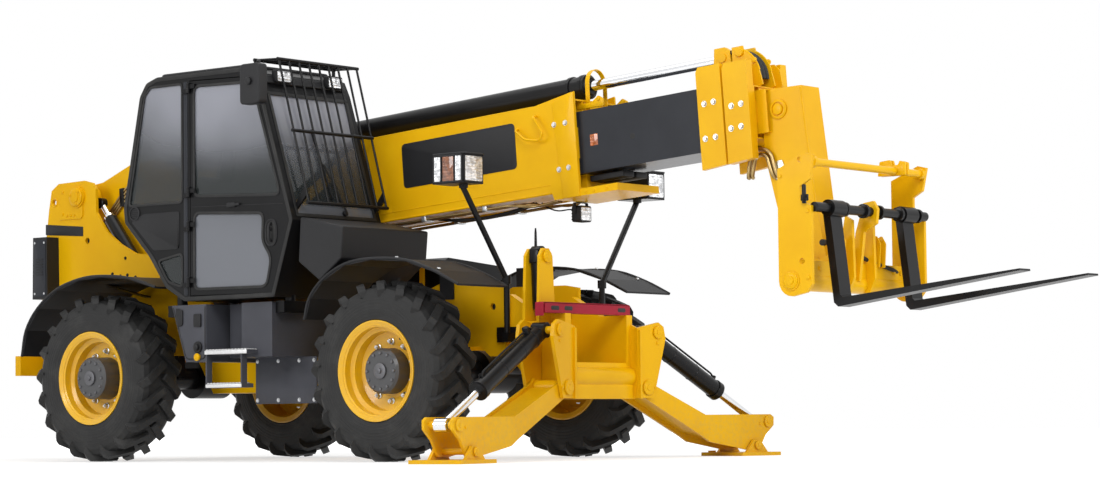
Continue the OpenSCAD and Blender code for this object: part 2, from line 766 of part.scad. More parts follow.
module leg_side(side) {
    color(yellow) leg_frame(side) difference() {
        union() {
            for (x = [-leg_w / 2, leg_w / 2 - 20])
                plate_x(leg, x, 20);
            plate_x([[70, -60], [560, -300], [900, -380], [900, -200], [600, -200], [80, 0]],
                -leg_w / 2 + 20, leg_w - 40);
            pin_x(0, 0, 50, -leg_w / 2 + 20, leg_w / 2 - 20);
        }
        pin_x(0, 0, leg_pin_r + pin_fit, -leg_w, leg_w);
        pin_x(foot_v, foot_pin - leg_z, foot_pin_r + pin_fit, -leg_w, leg_w);
        pin_x(ram_end[0], ram_end[1], ram_pin_r, -leg_w, leg_w);
    }
    // Both halves of the ram's pin, which leave the eye of its rod free
    color(yellow) leg_frame(side) {
        pin_x(ram_end[0], ram_end[1], ram_pin_r, -leg_w / 2 - 5, -leg_eye_w / 2 - pin_side_gap);
        pin_x(ram_end[0], ram_end[1], ram_pin_r, leg_eye_w / 2 + pin_side_gap, leg_w / 2 + 5);
    }
}

// Height of a foot's pivot over the ground
foot_pin = 74;

module foot_side(side) {
    color(yellow) leg_frame(side) {
        translate([-leg_w / 2 - 100, foot_v - 190, -leg_z]) cube([leg_w + 160, 400, pad_t]);
        for (x = [-leg_w / 2 - 28, leg_w / 2 + 6])
            plate_x([[foot_v - 110, pad_t - leg_z], [foot_v + 110, pad_t - leg_z],
                [foot_v + 34, 110 - leg_z],
                [foot_v - 34, 110 - leg_z]], x, 22);
        pin_x(foot_v, foot_pin - leg_z, foot_pin_r, -leg_w / 2 - 36, leg_w / 2 + 36);
    }
}

leg_ram_len = norm(ram_end - ram_top);
leg_ram_angle = atan2(ram_end[1] - ram_top[1], ram_end[0] - ram_top[0]);

module leg_ram_frame(side) {
    leg_frame(side) translate([0, ram_top[0], ram_top[1]]) rotate([leg_ram_angle, 0, 0]) children();
}

// A barrel along +Y from its pin, with its eye, bore and gland
module barrel_y(len, r, rod_r, eye_r, eye_w) {
    difference() {
        union() {
            pin_x(0, 0, eye_r + 26, -eye_w / 2, eye_w / 2);
            translate([-eye_w / 2, 0, -eye_r - 10]) cube([eye_w, eye_r + 45, 2 * eye_r + 20]);
            pin_y(0, 0, r, eye_r + 40, len);
        }
        pin_x(0, 0, eye_r + pin_fit, -eye_w, eye_w);
        pin_y(0, 0, r - 14, eye_r + 70, len - 50);
        pin_y(0, 0, rod_r + seat_gap, len - 60, len + 1);
    }
}

module rod_y(start, len, r, piston_r, eye_r, eye_w) {
    difference() {
        union() {
            pin_y(0, 0, r, start, len - eye_r);
            pin_y(0, 0, piston_r, start, start + 50);
            pin_x(len, 0, eye_r + 20, -eye_w / 2, eye_w / 2);
        }
        pin_x(len, 0, eye_r + pin_fit, -eye_w, eye_w);
    }
}

module leg_barrel(side) {
    color(black) leg_ram_frame(side) barrel_y(850, leg_ram_r, leg_rod_r, ram_pin_r, 100);
}

module leg_rod(side) {
    color(chrome) leg_ram_frame(side) rod_y(500, leg_ram_len, leg_rod_r, leg_ram_r - 15, ram_pin_r,
        leg_eye_w);
}

// Boom sections, drawn in the boom frame

// A closed box section from u0 to u1, its middle at -boom_mid
module section(half, h, u0, u1, wall) {
    difference() {
        translate([u0, -half, -boom_mid - h / 2]) cube([u1 - u0, 2 * half, h]);
        translate([u0 - 1, -half + wall, -boom_mid - h / 2 + wall]) cube([u1 - u0 + 2, 2 * (half - wall),
            h - 2 * wall]);
    }
}

// Wear pads inside a collar, between the cavity of one section and the outside of the next
module wear_pads(half, h, in_half, in_h, u0, u1) {
    for (s = [-1, 1]) {
        translate([u0, s > 0 ? in_half + pad_gap : -half, -boom_mid - in_h / 4]) cube([u1 - u0,
            half - in_half - pad_gap, in_h / 2]);
        translate([u0, -in_half * 0.7, s > 0 ? -boom_mid + in_h / 2 + pad_gap : -boom_mid - h / 2])
            cube([u1 - u0, in_half * 1.4, (h - in_h) / 2 - pad_gap]);
    }
}

// Wear pads round the rear end of a section, in the cavity up to out_half, high and low
module rear_pads(half, h, out_half, high, low, u) {
    for (s = [-1, 1]) {
        translate([u, s > 0 ? half - 1 : -out_half + pad_gap, -boom_mid - h / 4]) cube([140,
            out_half - half - pad_gap + 1, h / 2]);
        translate([u, -half * 0.7, s > 0 ? -boom_mid + h / 2 - 1 : low + pad_gap])
            cube([140, half * 1.4,
                s > 0 ? high - pad_gap + boom_mid - h / 2 + 1 : -boom_mid - h / 2 - low - pad_gap + 1]);
    }
}

outer_top = outer_h / 2 - boom_mid - 9;
outer_low = outer_top - outer_h;
// Width of the lift ram's eyes and radius of its pins
lift_eye_w = 100;
lift_pin_r = 40;
// Space between a ram's eye and each half of its pin
pin_side_gap = 5;

module boom_outer() {
    side = [[-130, -110], [150, -440], [350, outer_low], [outer_end - 240, outer_low],
        [outer_end - 220, outer_low - 48],
        [outer_end, outer_low - 48], [outer_end, 100], [outer_end - 100, 86], [outer_end - 340, outer_top],
        [1000, outer_top], [720, ext_w + 50], [420, ext_w + 50], [100, 110], [-100, 100], [-140, 0]];
    color(yellow) boom_frame() difference() {
        union() {
            plates_y(side, outer_half - boom_wall - 2, boom_wall + 2);
            // Top, bottom and rear walls
            translate([1000, -outer_half, outer_top - boom_wall]) cube([outer_end - 1000, 2 * outer_half,
                boom_wall]);
            translate([350, -outer_half, outer_low]) cube([outer_end - 350, 2 * outer_half, boom_wall]);
            plate_y([[150, -440], [350, outer_low], [350, outer_low + 14], [158, -424]],
                -outer_half, 2 * outer_half);
            pin_y(0, 0, pivot_boss_r - 4, -outer_half, outer_half);
            // Lower ledge and pad blocks of the front collar
            translate([outer_end - 220, -outer_half, outer_low - 48]) cube([530, 2 * outer_half, 48]);
            wear_pads(outer_half - boom_wall, 2 * (outer_top - boom_wall + boom_mid), second_half,
                second_h, outer_end - 200, outer_end - 10);
            translate([outer_end - 200, -second_half * 0.7, outer_low + 5])
                cube([190, second_half * 1.4, -boom_mid - second_h / 2 - pad_gap - outer_low - 5]);
            // Lugs of the lift ram and base of the extension ram
            for (s = [-1, 1]) half_plane_y(s) {
                plate_y([[lift_u - 180, outer_low + 2], [lift_u - 60, -lift_w - 40],
                    [lift_u, -lift_w - 62], [lift_u + 60, -lift_w - 40],
                    [lift_u + 180, outer_low + 2]], 60, 26);
                // Half of the pin, which leaves the eye of the ram's rod free
                pin_y(lift_u, -lift_w, lift_pin_r, lift_eye_w / 2 + pin_side_gap, 96);
            }
            pin_y(ext_base, ext_w, ext_base_r, -outer_half, outer_half);
        }
        pin_y(0, 0, pivot_r + pin_fit, -outer_half - 5, outer_half + 5);
    }
}

module ext_barrel() {
    color(black) boom_frame() translate([ext_base, 0, ext_w]) rotate([0, 0, -90])
        barrel_y(outer_end - ext_base - 30, ext_r, ext_rod_r, ext_base_r, 150);
}

// Base of the extension ram and the pin of its rod, from the boom's pivot
ext_base = 560;
ext_pin = 5800;
ext_base_r = 32;
ext_pin_r = 30;

module ext_rod() {
    color(chrome) boom_frame() translate([ext_base, 0, ext_w]) rotate([0, 0, -90])
        rod_y(300, ext_pin - ext_base, ext_rod_r, ext_r - 15, ext_pin_r, 90);
}

collar_two = outer_end + 994;
collar_l = 190;

module collar(u, half, h, low, high) {
    for (s = [-1, 1]) half_plane_y(s)
        plate_y([[u, low], [u + collar_l, low + 14], [u + collar_l, high], [u + 20, high],
            [u, high - 30]], half, outer_half - half);
}

module boom_second() {
    color(slate) boom_frame() {
        section(second_half, second_h, 750, collar_two + collar_l, boom_wall);
        rear_pads(second_half, second_h, outer_half - boom_wall - 2, outer_top - boom_wall,
            outer_low + boom_wall, 1010);
        pin_y(ext_pin, ext_w, ext_pin_r, -90, 90);
        collar(collar_two, second_half, second_h, -566, 95);
        wear_pads(second_half - boom_wall, second_h - 2 * boom_wall, third_half, third_h, collar_two,
            collar_two + collar_l - 10);
        for (s = [-1, 1]) half_plane_y(s)
            plate_y([[ext_pin - 90, -boom_mid + second_h / 2 - 5],
                [ext_pin + 70, -boom_mid + second_h / 2 - 5],
                [ext_pin + 60, ext_w + 40], [ext_pin + 20, ext_w + 66], [ext_pin - 60, ext_w + 66]],
                    52, 30);
    }
}

collar_three = collar_two + collar_l + 15;

guide = concat([[0, -75], [188, -75], [218, -62], [210, -20]], arc([-10, -10],
    212, 12, 62, 6), [[84, 206], [0, 206]]);
guide_low = [[20, -75], [188, -75], [214, -55], [200, 50], [160, 92], [90, 96]];

module boom_third() {
    color(slate) boom_frame() {
        rear_pads(third_half, third_h, second_half - boom_wall, -boom_mid + second_h / 2 - boom_wall,
            -boom_mid - second_h / 2 + boom_wall, 1160);
        section(third_half, third_h, 1150, collar_three + collar_l, boom_wall - 2);
        collar(collar_three, third_half, third_h, -554, 90);
        wear_pads(third_half - boom_wall + 2, third_h - 2 * boom_wall + 4, fourth_half, fourth_h,
            collar_three, collar_three + collar_l - 10);
        // Plates that guide the hoses over the nose
        for (y = [-95, 40])
            plate_y([for (p = guide) p + [collar_three, 0]], y, 12);
        plate_y([for (p = guide_low) p + [collar_three, 0]], third_half - 26, 12);
    }
}

// Tilt pivot in the boom frame
tilt_dx = tilt_x - pivot_x;
tilt_dz = tilt_z - pivot_z;
tilt_u = tilt_dx * cos(boom_angle) + tilt_dz * sin(boom_angle);
tilt_w = -tilt_dx * sin(boom_angle) + tilt_dz * cos(boom_angle);
nose_rear = collar_three + collar_l + 10;

module boom_nose() {
    nose = concat([[nose_rear, -102], [nose_rear, -530], [nose_rear + 60, -850],
        [tilt_u - 106, tilt_w + 20]],
        arc([tilt_u, tilt_w], 100, 180, 350, 8), [[tilt_u + 44, tilt_w + 390], [tilt_u - 2, -115]]);
    color(yellow) boom_frame() difference() {
        union() {
            section(fourth_half, fourth_h, 1550, nose_rear + 60, boom_wall - 2);
            rear_pads(fourth_half, fourth_h, third_half - boom_wall + 2,
                -boom_mid + third_h / 2 - boom_wall + 2,
                -boom_mid - third_h / 2 + boom_wall - 2, 1560);
            plate_y(nose, -nose_half, 2 * nose_half);
        }
        pin_y(tilt_u, tilt_w, tilt_pin_r + pin_fit, -nose_half - 5, nose_half + 5);
    }
}

// Lift ram, in the plane of the boom

lift_top = [pivot_x, pivot_z] + lift_u * [cos(boom_angle), sin(boom_angle)] + lift_w * [sin(boom_angle),
    -cos(boom_angle)];
lift_len = norm(lift_top - [lift_x, lift_z]);
lift_angle = atan2(lift_top[1] - lift_z, lift_top[0] - lift_x);

module lift_frame() {
    machine() translate([lift_x, 0, lift_z]) rotate([0, -lift_angle, 0]) rotate([0, 0, -90]) children();
}

module lift_barrel() {
    color(black) lift_frame() barrel_y(1500, lift_r, lift_rod_r, lift_pin_r, lift_eye_w);
}

module lift_rod() {
    color(chrome) lift_frame() rod_y(330, lift_len, lift_rod_r, lift_r - 15, lift_pin_r, lift_eye_w);
}

// Carriage and forks

bar_x = 5826;
bar_z = 1797;
shaft_x = 5846;
shaft_z = 1524;

carriage_in = carriage_half - carriage_t;
shaft_r = 30;
tilt_pin_r = 36;

module carriage_plates() {
    plate = concat(arc([5695, 1085], 95, 180, 290, 6), [[5800, 1010], [5840, 1060], [5840, 1530],
        [5760, 1570], [5760, 1650],
        [5830, 1690], [5862, 1835], [5800, 1850], [5600, 1765]]);
    color(yellow) machine() for (s = [-1, 1]) half_plane_y(s) difference() {
        union() {
            plate_y(plate, carriage_in, carriage_t);
            pin_y(5690, 1085, 60, carriage_in, carriage_half + 6);
        }
        pin_y(5765, 1814, 20, carriage_in - 5, carriage_half + 5);
        pin_y(5770, 1199, 20, carriage_in - 5, carriage_half + 5);
    }
}

module carriage() {
    rib = concat([[5760, 1030], [5800, 1120], [5790, 1470], [5740, 1500], [5700, 1300]],
        arc([tilt_x, tilt_z], 90, 60, 250, 8), [[5660, 1030]]);
    bracket = [[5690, 1085], [5760, 1100], [5800, 1400], [5890, 1450], [5900, 1540], [5870, 1590],
        [5800, 1580], [5740, 1400]];
    color(yellow) machine() {
        pin_y(bar_x, bar_z, 24, -carriage_in, carriage_in);
        difference() {
            union() {
                pin_y(5690, 1085, 60, -carriage_in, carriage_in);
                plates_y(rib, nose_half + 6, 25);
                pin_y(tilt_x, tilt_z, tilt_pin_r, -nose_half - 40, nose_half + 40);
                plate_y(bracket, -14, 28);
                translate([5700, -carriage_in, 1120]) cube([40, 2 * carriage_in, 90]);
            }
            pin_y(shaft_x, shaft_z, shaft_r + seat_gap, -carriage_in, carriage_in);
        }
    }
}

module forks() {
    color(black) machine() translate([shaft_x, 0, shaft_z]) rotate([0, -fork_slope, 0]) {
        pin_y(0, 0, shaft_r, -carriage_in + seat_gap, carriage_in - seat_gap);
        for (s = [-1, 1]) {
            translate([0, s * fork_y, 0]) {
                pin_y(0, 0, 52, -fork_w / 2 - 10, fork_w / 2 + 10);
                plate_y([[-45, 30], [-45, -570], [-20, -600], [fork_l, -590], [fork_l, -578],
                    [20, -548], [5, -530], [5, 30]],
                    -fork_w / 2, fork_w);
            }
        }
    }
}

chassis();
rails();
rear_plates();
rear_lamps();
axles();
fenders();
fairing();
tank_steps();
cab_shell();
cab_glass();
cab_door();
door_glass();
seat();
steering_column();
screen_guard();
lamp_posts();
engine_pod();
engine_lid();
engine_block();
stabiliser_frame();
safety_strut();
knuckle(0);  // knuckle_fl
knuckle(1);  // knuckle_fr
knuckle(2);  // knuckle_rl
knuckle(3);  // knuckle_rr
wheel_at(0) tyre();  // tyre_fl
wheel_at(1) tyre();  // tyre_fr
wheel_at(2) tyre();  // tyre_rl
wheel_at(3) tyre();  // tyre_rr
wheel_at(0) rim(125);  // rim_fl
wheel_at(1) rim(125);  // rim_fr
wheel_at(2) rim(175);  // rim_rl
wheel_at(3) rim(175);  // rim_rr
boom_outer();
boom_second();
boom_third();
boom_nose();
ext_barrel();
ext_rod();
lift_barrel();
lift_rod();
carriage();
carriage_plates();
forks();
leg_side(1);  // leg_left
leg_side(-1);  // leg_right
foot_side(1);  // foot_left
foot_side(-1);  // foot_right
leg_barrel(1);  // leg_barrel_left
leg_barrel(-1);  // leg_barrel_right
leg_rod(1);  // leg_rod_left
leg_rod(-1);  // leg_rod_right
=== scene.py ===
import bpy, bmesh, json, math
import numpy as np
from mathutils import Matrix, Vector


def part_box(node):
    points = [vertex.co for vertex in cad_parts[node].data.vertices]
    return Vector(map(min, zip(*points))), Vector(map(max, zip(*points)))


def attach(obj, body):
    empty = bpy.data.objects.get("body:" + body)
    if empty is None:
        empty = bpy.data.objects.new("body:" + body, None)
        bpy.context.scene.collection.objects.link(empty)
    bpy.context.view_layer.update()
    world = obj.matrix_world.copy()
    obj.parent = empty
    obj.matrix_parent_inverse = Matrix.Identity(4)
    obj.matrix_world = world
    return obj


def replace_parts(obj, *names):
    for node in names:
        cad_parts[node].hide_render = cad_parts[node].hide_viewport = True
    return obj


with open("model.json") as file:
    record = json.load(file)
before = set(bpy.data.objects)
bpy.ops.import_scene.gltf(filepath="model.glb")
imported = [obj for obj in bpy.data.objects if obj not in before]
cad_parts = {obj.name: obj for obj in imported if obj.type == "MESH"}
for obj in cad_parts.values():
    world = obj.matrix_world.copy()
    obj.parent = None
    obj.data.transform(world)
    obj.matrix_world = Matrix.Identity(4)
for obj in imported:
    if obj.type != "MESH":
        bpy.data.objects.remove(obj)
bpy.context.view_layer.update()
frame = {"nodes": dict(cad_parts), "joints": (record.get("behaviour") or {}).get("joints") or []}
print("stage: frame loaded,", len(frame["nodes"]), "nodes")

# Camera: where the photograph was taken from, as azimuth and elevation of the view and its roll in degrees

cameraValues = {"azimuth": 38.92157, "elevation": -3.42697, "roll": -0.61379,
                "place": (12.47495, -14.83865, 0.26350), "lens": 92.894}


def makeCamera(v):
    a, e, r = (math.radians(v[k]) for k in ("azimuth", "elevation", "roll"))
    back = Vector((math.sin(a) * math.cos(e), -math.cos(a) * math.cos(e), math.sin(e)))
    right = Vector((math.cos(a), math.sin(a), 0))
    up = back.cross(right)
    turnedRight = math.cos(r) * right + math.sin(r) * up
    turnedUp = -math.sin(r) * right + math.cos(r) * up
    data = bpy.data.cameras.new("camera")
    data.lens, data.sensor_width = v["lens"], 36
    camera = bpy.data.objects.new("camera", data)
    axes = Matrix((turnedRight, turnedUp, back)).transposed().to_4x4()
    camera.matrix_world = Matrix.Translation(v["place"]) @ axes
    data.clip_end = 200
    bpy.context.collection.objects.link(camera)
    bpy.context.scene.camera = camera


makeCamera(cameraValues)
print("stage: camera")


class Wire:
    # One output of a node. Plain maths on it adds Math nodes, also where it stands on the right.
    def __init__(self, shader, socket):
        self.shader, self.socket = shader, socket

    def maths(self, operation, *values):
        return self.shader.node("ShaderNodeMath", {"operation": operation}, dict(enumerate(values)))

    def __add__(self, other):
        return self.maths("ADD", self, other)

    def __radd__(self, other):
        return self.maths("ADD", other, self)

    def __sub__(self, other):
        return self.maths("SUBTRACT", self, other)

    def __rsub__(self, other):
        return self.maths("SUBTRACT", other, self)

    def __mul__(self, other):
        return self.maths("MULTIPLY", self, other)

    def __rmul__(self, other):
        return self.maths("MULTIPLY", other, self)

    def __pow__(self, other):
        return self.maths("POWER", self, other)

    def __abs__(self):
        return self.maths("ABSOLUTE", self)

    def wave(self):
        return self.maths("SINE", self)

    # 0 below low, 1 above high, smooth between
    def ramp(self, low, high):
        return self.shader.node("ShaderNodeMapRange", {"interpolation_type": "SMOOTHSTEP"},
                                {"Value": self, "From Min": low, "From Max": high})


class Shader:
    def __init__(self, name, **values):
        self.material = bpy.data.materials.new(name)
        self.material.use_nodes = True
        self.tree = self.material.node_tree
        self.surface = self.tree.nodes["Principled BSDF"]
        self.place = self.node("ShaderNodeTexCoord", output="Object")
        self.set(**values)

    # Any node: its type, its settings, then the values or links of its sockets
    def node(self, kind, settings=None, inputs=None, output=0):
        made = self.tree.nodes.new(kind)
        for key, value in (settings or {}).items():
            setattr(made, key, value)
        for key, value in (inputs or {}).items():
            self.feed(made.inputs[key], value)
        return Wire(self, made.outputs[output])

    def feed(self, socket, value):
        if isinstance(value, Wire):
            self.tree.links.new(value.socket, socket)
        elif socket.type == "RGBA" and len(value) == 3:
            socket.default_value = (*value, 1)
        else:
            socket.default_value = value

    def set(self, **values):
        for key, value in values.items():
            self.feed(self.surface.inputs[key.replace("_", " ")], value)

    def noise(self, scale, detail=3.0, roughness=0.55, place=None):
        return self.node("ShaderNodeTexNoise", {}, {"Vector": place or self.place, "Scale": scale,
                                                    "Detail": detail, "Roughness": roughness})

    def mix(self, factor, a, b):
        return self.node("ShaderNodeMix", {"data_type": "RGBA"}, {0: factor, 6: a, 7: b}, output=2)

    def bump(self, height, strength, distance):
        return self.node("ShaderNodeBump", {}, {"Height": height, "Strength": strength, "Distance": distance})

    def axes(self):
        return [self.node("ShaderNodeSeparateXYZ", {}, {0: self.place}, output=k) for k in "XYZ"]


finishValues = {"yellow": (0.84, 0.47, 0.003), "yellowShade": (0.78, 0.41, 0.002), "dust": (0.30, 0.26, 0.18),
                "black": (0.0055, 0.0055, 0.006), "plastic": (0.008, 0.008, 0.009),
                "grey": (0.078, 0.080, 0.094), "slate": (0.024, 0.026, 0.032), "red": (0.34, 0.016, 0.035),
                "rubber": (0.016, 0.016, 0.016), "glassLow": (0.034, 0.040, 0.041),
                # The pane and high glass tones on the next line are painted reflections: on the door's lower
                # pane, and of the sky
                "glassPane": (0.19, 0.20, 0.225), "glassHigh": (0.36, 0.37, 0.42),
                "seat": (0.030, 0.030, 0.034), "iron": (0.16, 0.16, 0.17)}


def scaled(colour, k):
    return tuple(c * k for c in colour)


# Paint: a slow change of tone, a little dust that gathers low down, a fine orange-peel surface.
# yellowFrom is a distance along the boom, past which a slate section is yellow; with blackSide, what stands
# out from the rails under the cab is black.
def paint(name, tone, shade, roughness, dustTop=0.55, dustMost=0.2, coat=0.05, yellowFrom=None,
          blackSide=False):
    s = Shader(name, Coat_Weight=coat, Coat_Roughness=0.1, Specular_IOR_Level=0.12)
    slow = s.noise(1.7, 4, 0.6)
    fine = s.noise(38, 5, 0.65)
    x, y, z = s.axes()
    dust = (1 - z.ramp(0.15, dustTop)) * fine.ramp(0.35, 0.75) * dustMost
    colour = s.mix(slow.ramp(0.35, 0.7), tone, shade)
    if yellowFrom is not None:
        along = (x - float(pivot[0])) * float(alongBoom[0]) + (z - float(pivot[2])) * float(alongBoom[2])
        yellow = s.mix(slow.ramp(0.35, 0.7), finishValues["yellow"], finishValues["yellowShade"])
        colour = s.mix(along.ramp(yellowFrom - 0.0006, yellowFrom), colour, yellow)
    if blackSide:
        colour = s.mix((1 - y.ramp(-0.402, -0.401)) * x.ramp(rearAxle, rearAxle + 0.01), colour,
                       finishValues["black"])
    s.set(Base_Color=s.mix(dust, colour, finishValues["dust"]),
          Roughness=roughness + (fine - 0.5) * 0.12 + dust * 0.4,
          Normal=s.bump(s.noise(210, 2, 0.5), 0.04, 0.002))
    return s.material


# Moulded plastic: grained surface, faint mottling
def plastic(name, tone, roughness=0.55):
    s = Shader(name, Specular_IOR_Level=0.3)
    grain = s.noise(420, 3, 0.6)
    cloud = s.noise(3, 4, 0.6)
    s.set(Base_Color=s.mix(cloud.ramp(0.3, 0.75), tone, scaled(tone, 1.6)),
          Roughness=roughness + (cloud - 0.5) * 0.15, Normal=s.bump(grain, 0.14, 0.0012))
    return s.material


def metal(name, tone, roughness, grain=160.0, depth=0.0006):
    s = Shader(name, Metallic=1.0)
    streak = s.noise(grain, 4, 0.7)
    s.set(Base_Color=s.mix(streak.ramp(0.3, 0.8), tone, scaled(tone, 0.82)),
          Roughness=roughness + (streak - 0.5) * 0.16, Normal=s.bump(streak, 0.06, depth))
    return s.material


# Rubber: dull, with a dusty bloom in patches and a finely pitted surface.
# A tyre also has moulded rings: sin(2 pi radius / pitch) where the wall stands off the wheel's middle plane.
def rubber(name, tone, centre=None):
    s = Shader(name, Specular_IOR_Level=0.3)
    bloom = s.noise(5, 5, 0.65).ramp(0.42, 0.78)
    pits = s.noise(130, 4, 0.6)
    height = pits * 0.25
    if centre is not None:
        x, y, z = s.axes()
        dx, dz = x - centre[0], z - centre[2]
        radius = (dx * dx + dz * dz) ** 0.5
        wall = abs(y - centre[1]).ramp(0.168, 0.176) * (1 - radius.ramp(0.47, 0.48))
        ring = (radius * (2 * math.pi / 0.021)).wave().ramp(0.2, 0.9)
        height = height + ring * wall * 1.0
    s.set(Base_Color=s.mix(bloom * 0.5, tone, (0.055, 0.054, 0.052)), Roughness=0.62 + (pits - 0.5) * 0.2,
          Normal=s.bump(height, 0.5, 0.003))
    return s.material


# Glass: clear-toned low down, with a painted reflection of the pale sky over its upper part, whose edge
# wanders a little, and with a paler painted reflection, brightest low down, on the door's lower pane, which
# is the only one below 1.75 m and ahead of the hinges
def glass(name, low, high, paneReflection, alpha, roughness=0.03):
    s = Shader(name, Roughness=roughness, IOR=1.5)
    x, y, z = s.axes()
    # Painted reflection of the sky over the upper part of the glass, which also makes it less clear there
    sky = (z + s.noise(1.1, 2, 0.5) * 0.5 + x * 0.12).ramp(1.95, 2.65)
    # Painted reflection on the door's lower pane, brightest low down, which also makes that pane less clear
    pane = (1 - z.ramp(1.72, 1.76)) * x.ramp(rearAxle + 0.98, rearAxle + 1.0)
    bright = pane * (1 - (z + x * 0.2).ramp(1.2, 1.9) * 0.6)
    s.set(Base_Color=s.mix(bright, s.mix(sky, low, high), paneReflection), Alpha=alpha + sky * 0.14 + pane * 0.22)
    s.material.surface_render_method = "BLENDED"
    return s.material


# Lens: ribbed clear plastic over a bright reflector
def lens(name, tone, metallic=0.0, pitch=0.012):
    s = Shader(name, Metallic=metallic, Coat_Weight=1.0, Coat_Roughness=0.03)
    x, y, z = s.axes()
    ribs = ((x + y) * (2 * math.pi / pitch)).wave() * 0.5 + (z * (2 * math.pi / (pitch * 1.7))).wave() * 0.5
    facet = s.noise(34, 1, 0.4).ramp(0.35, 0.65)
    s.set(Base_Color=s.mix(facet, tone, scaled(tone, 0.55)), Roughness=0.12 + facet * 0.1,
          Normal=s.bump(ribs, 0.5, 0.003))
    return s.material


# Rim: yellow outside, and the planetary hub dark, told apart by the distance from the wheel's axis
def rimPaint(name, centre, side):
    s = Shader(name, Coat_Weight=0.3, Coat_Roughness=0.12)
    x, y, z = s.axes()
    dx, dz = x - centre[0], z - centre[2]
    out = (y - centre[1]) * side
    radius = (dx * dx + dz * dz) ** 0.5
    hub = (1 - radius.ramp(0.151, 0.1525)) * out.ramp(0.0, 0.006)
    fine = s.noise(34, 5, 0.65)
    dust = fine.ramp(0.4, 0.8) * 0.14
    yellow = s.mix(s.noise(2, 4, 0.6).ramp(0.35, 0.7), finishValues["yellow"], finishValues["yellowShade"])
    s.set(Base_Color=s.mix(hub, s.mix(dust, yellow, finishValues["dust"]),
                           s.mix(fine, (0.035, 0.036, 0.040), (0.06, 0.06, 0.062))),
          Roughness=0.38 + hub * 0.14 + (fine - 0.5) * 0.1,
          Normal=s.bump(s.noise(150, 3, 0.6), 0.08, 0.002))
    return s.material


# Woven cloth: threads as the product of two waves along the surface's own axes
def cloth(name, tone):
    s = Shader(name, Sheen_Weight=0.25)
    x, y, z = s.axes()
    weave = ((x + z) * 1900.0).wave() * (y * 1900.0).wave()
    cloud = s.noise(9, 4, 0.6)
    s.set(Base_Color=s.mix(cloud.ramp(0.35, 0.7), tone, scaled(tone, 1.7)), Roughness=0.9 + weave * 0.05,
          Normal=s.bump(weave, 0.3, 0.0006))
    return s.material


joints = {j["name"]: j for j in frame["joints"]}
rearAxle = joints["spin_rl"]["pos_m"][0]
wheelBase = joints["spin_fl"]["pos_m"][0] - rearAxle
pivot = np.array(joints["boom_lift"]["pos_m"])
alongBoom = np.array(joints["boom_extend"]["axis"], float)
offBoom = np.array([-alongBoom[2], 0, alongBoom[0]])


def makeFinishes(v):
    return {"yellow": paint("yellowPaint", v["yellow"], v["yellowShade"], 0.32),
            "chassis": paint("chassisPaint", v["yellow"], v["yellowShade"], 0.32, blackSide=True),
            "black": paint("blackPaint", v["black"], scaled(v["black"], 1.5), 0.34, dustMost=0.06, coat=0.12),
            "plastic": plastic("blackPlastic", v["plastic"]),
            "grey": paint("greyPaint", v["grey"], scaled(v["grey"], 0.8), 0.5, coat=0.1),
            "slate": paint("slatePaint", v["slate"], scaled(v["slate"], 0.75), 0.4, coat=0.15),
            "second": paint("secondSection", v["slate"], scaled(v["slate"], 0.75), 0.36, coat=0.2,
                            yellowFrom=5.680),
            "third": paint("thirdSection", v["slate"], scaled(v["slate"], 0.75), 0.36, coat=0.2,
                           yellowFrom=5.885),
            "red": paint("redPaint", v["red"], scaled(v["red"], 0.8), 0.42),
            "rubber": rubber("hoseRubber", v["rubber"]),
            # Glass with painted reflections: of the sky over its upper part, and on the door's lower pane
            "glass": glass("tintedGlass", v["glassLow"], v["glassHigh"], v["glassPane"], 0.62),
            "seat": cloth("seatCloth", v["seat"]), "iron": metal("castIron", v["iron"], 0.6, 60.0, 0.002),
            "chrome": metal("rodChrome", (0.82, 0.83, 0.85), 0.12),
            "steel": metal("zincSteel", (0.62, 0.63, 0.64), 0.30),
            "alu": metal("aluminium", (0.72, 0.72, 0.72), 0.38),
            "brass": metal("pipeBrass", (0.42, 0.30, 0.13), 0.38),
            "lens": lens("clearLens", (0.85, 0.86, 0.88), 0.6),
            "amber": lens("amberLens", (0.26, 0.07, 0.012), 0.1),
            "label": lens("labelFilm", (0.62, 0.14, 0.012)),
            "redLens": lens("redLens", (0.40, 0.012, 0.012), 0.1),
            "mirror": metal("mirrorGlass", (0.75, 0.77, 0.80), 0.04, 3.0, 0.0001)}


finishes = makeFinishes(finishValues)
nodeFinish = {"chassis": "chassis", "rear_lamps": "plastic", "fenders": "plastic", "fairing": "plastic",
              "steering_column": "plastic", "cab_shell": "black", "cab_door": "black",
              "screen_guard": "black", "lamp_posts": "black", "forks": "black", "axles": "black",
              "ext_barrel": "black", "lift_barrel": "black", "leg_barrel_left": "black",
              "leg_barrel_right": "black", "engine_lid": "black", "tank_steps": "grey", "cab_glass": "glass",
              "door_glass": "glass", "seat": "seat", "engine_block": "iron", "safety_strut": "red",
              "boom_second": "second", "boom_third": "third", "ext_rod": "chrome", "lift_rod": "chrome",
              "leg_rod_left": "chrome", "leg_rod_right": "chrome"}


def dressNodes():
    for name, node in frame["nodes"].items():
        kind, wheel = name.split("_")[0], name[-2:]
        if kind in ("rim", "tyre"):
            centre = joints["spin_" + wheel]["pos_m"]
            if kind == "rim":
                material = rimPaint("rimPaint_" + wheel, centre, 1 if centre[1] > 0 else -1)
            else:
                material = rubber("tyreRubber_" + wheel, finishValues["rubber"], centre)
        else:
            material = finishes["black" if kind == "knuckle" else nodeFinish.get(name, "yellow")]
        node.data.materials.clear()
        node.data.materials.append(material)


dressNodes()
print("stage: finishes")


def at(x, y, z):
    return np.array([x + rearAxle, y, z])


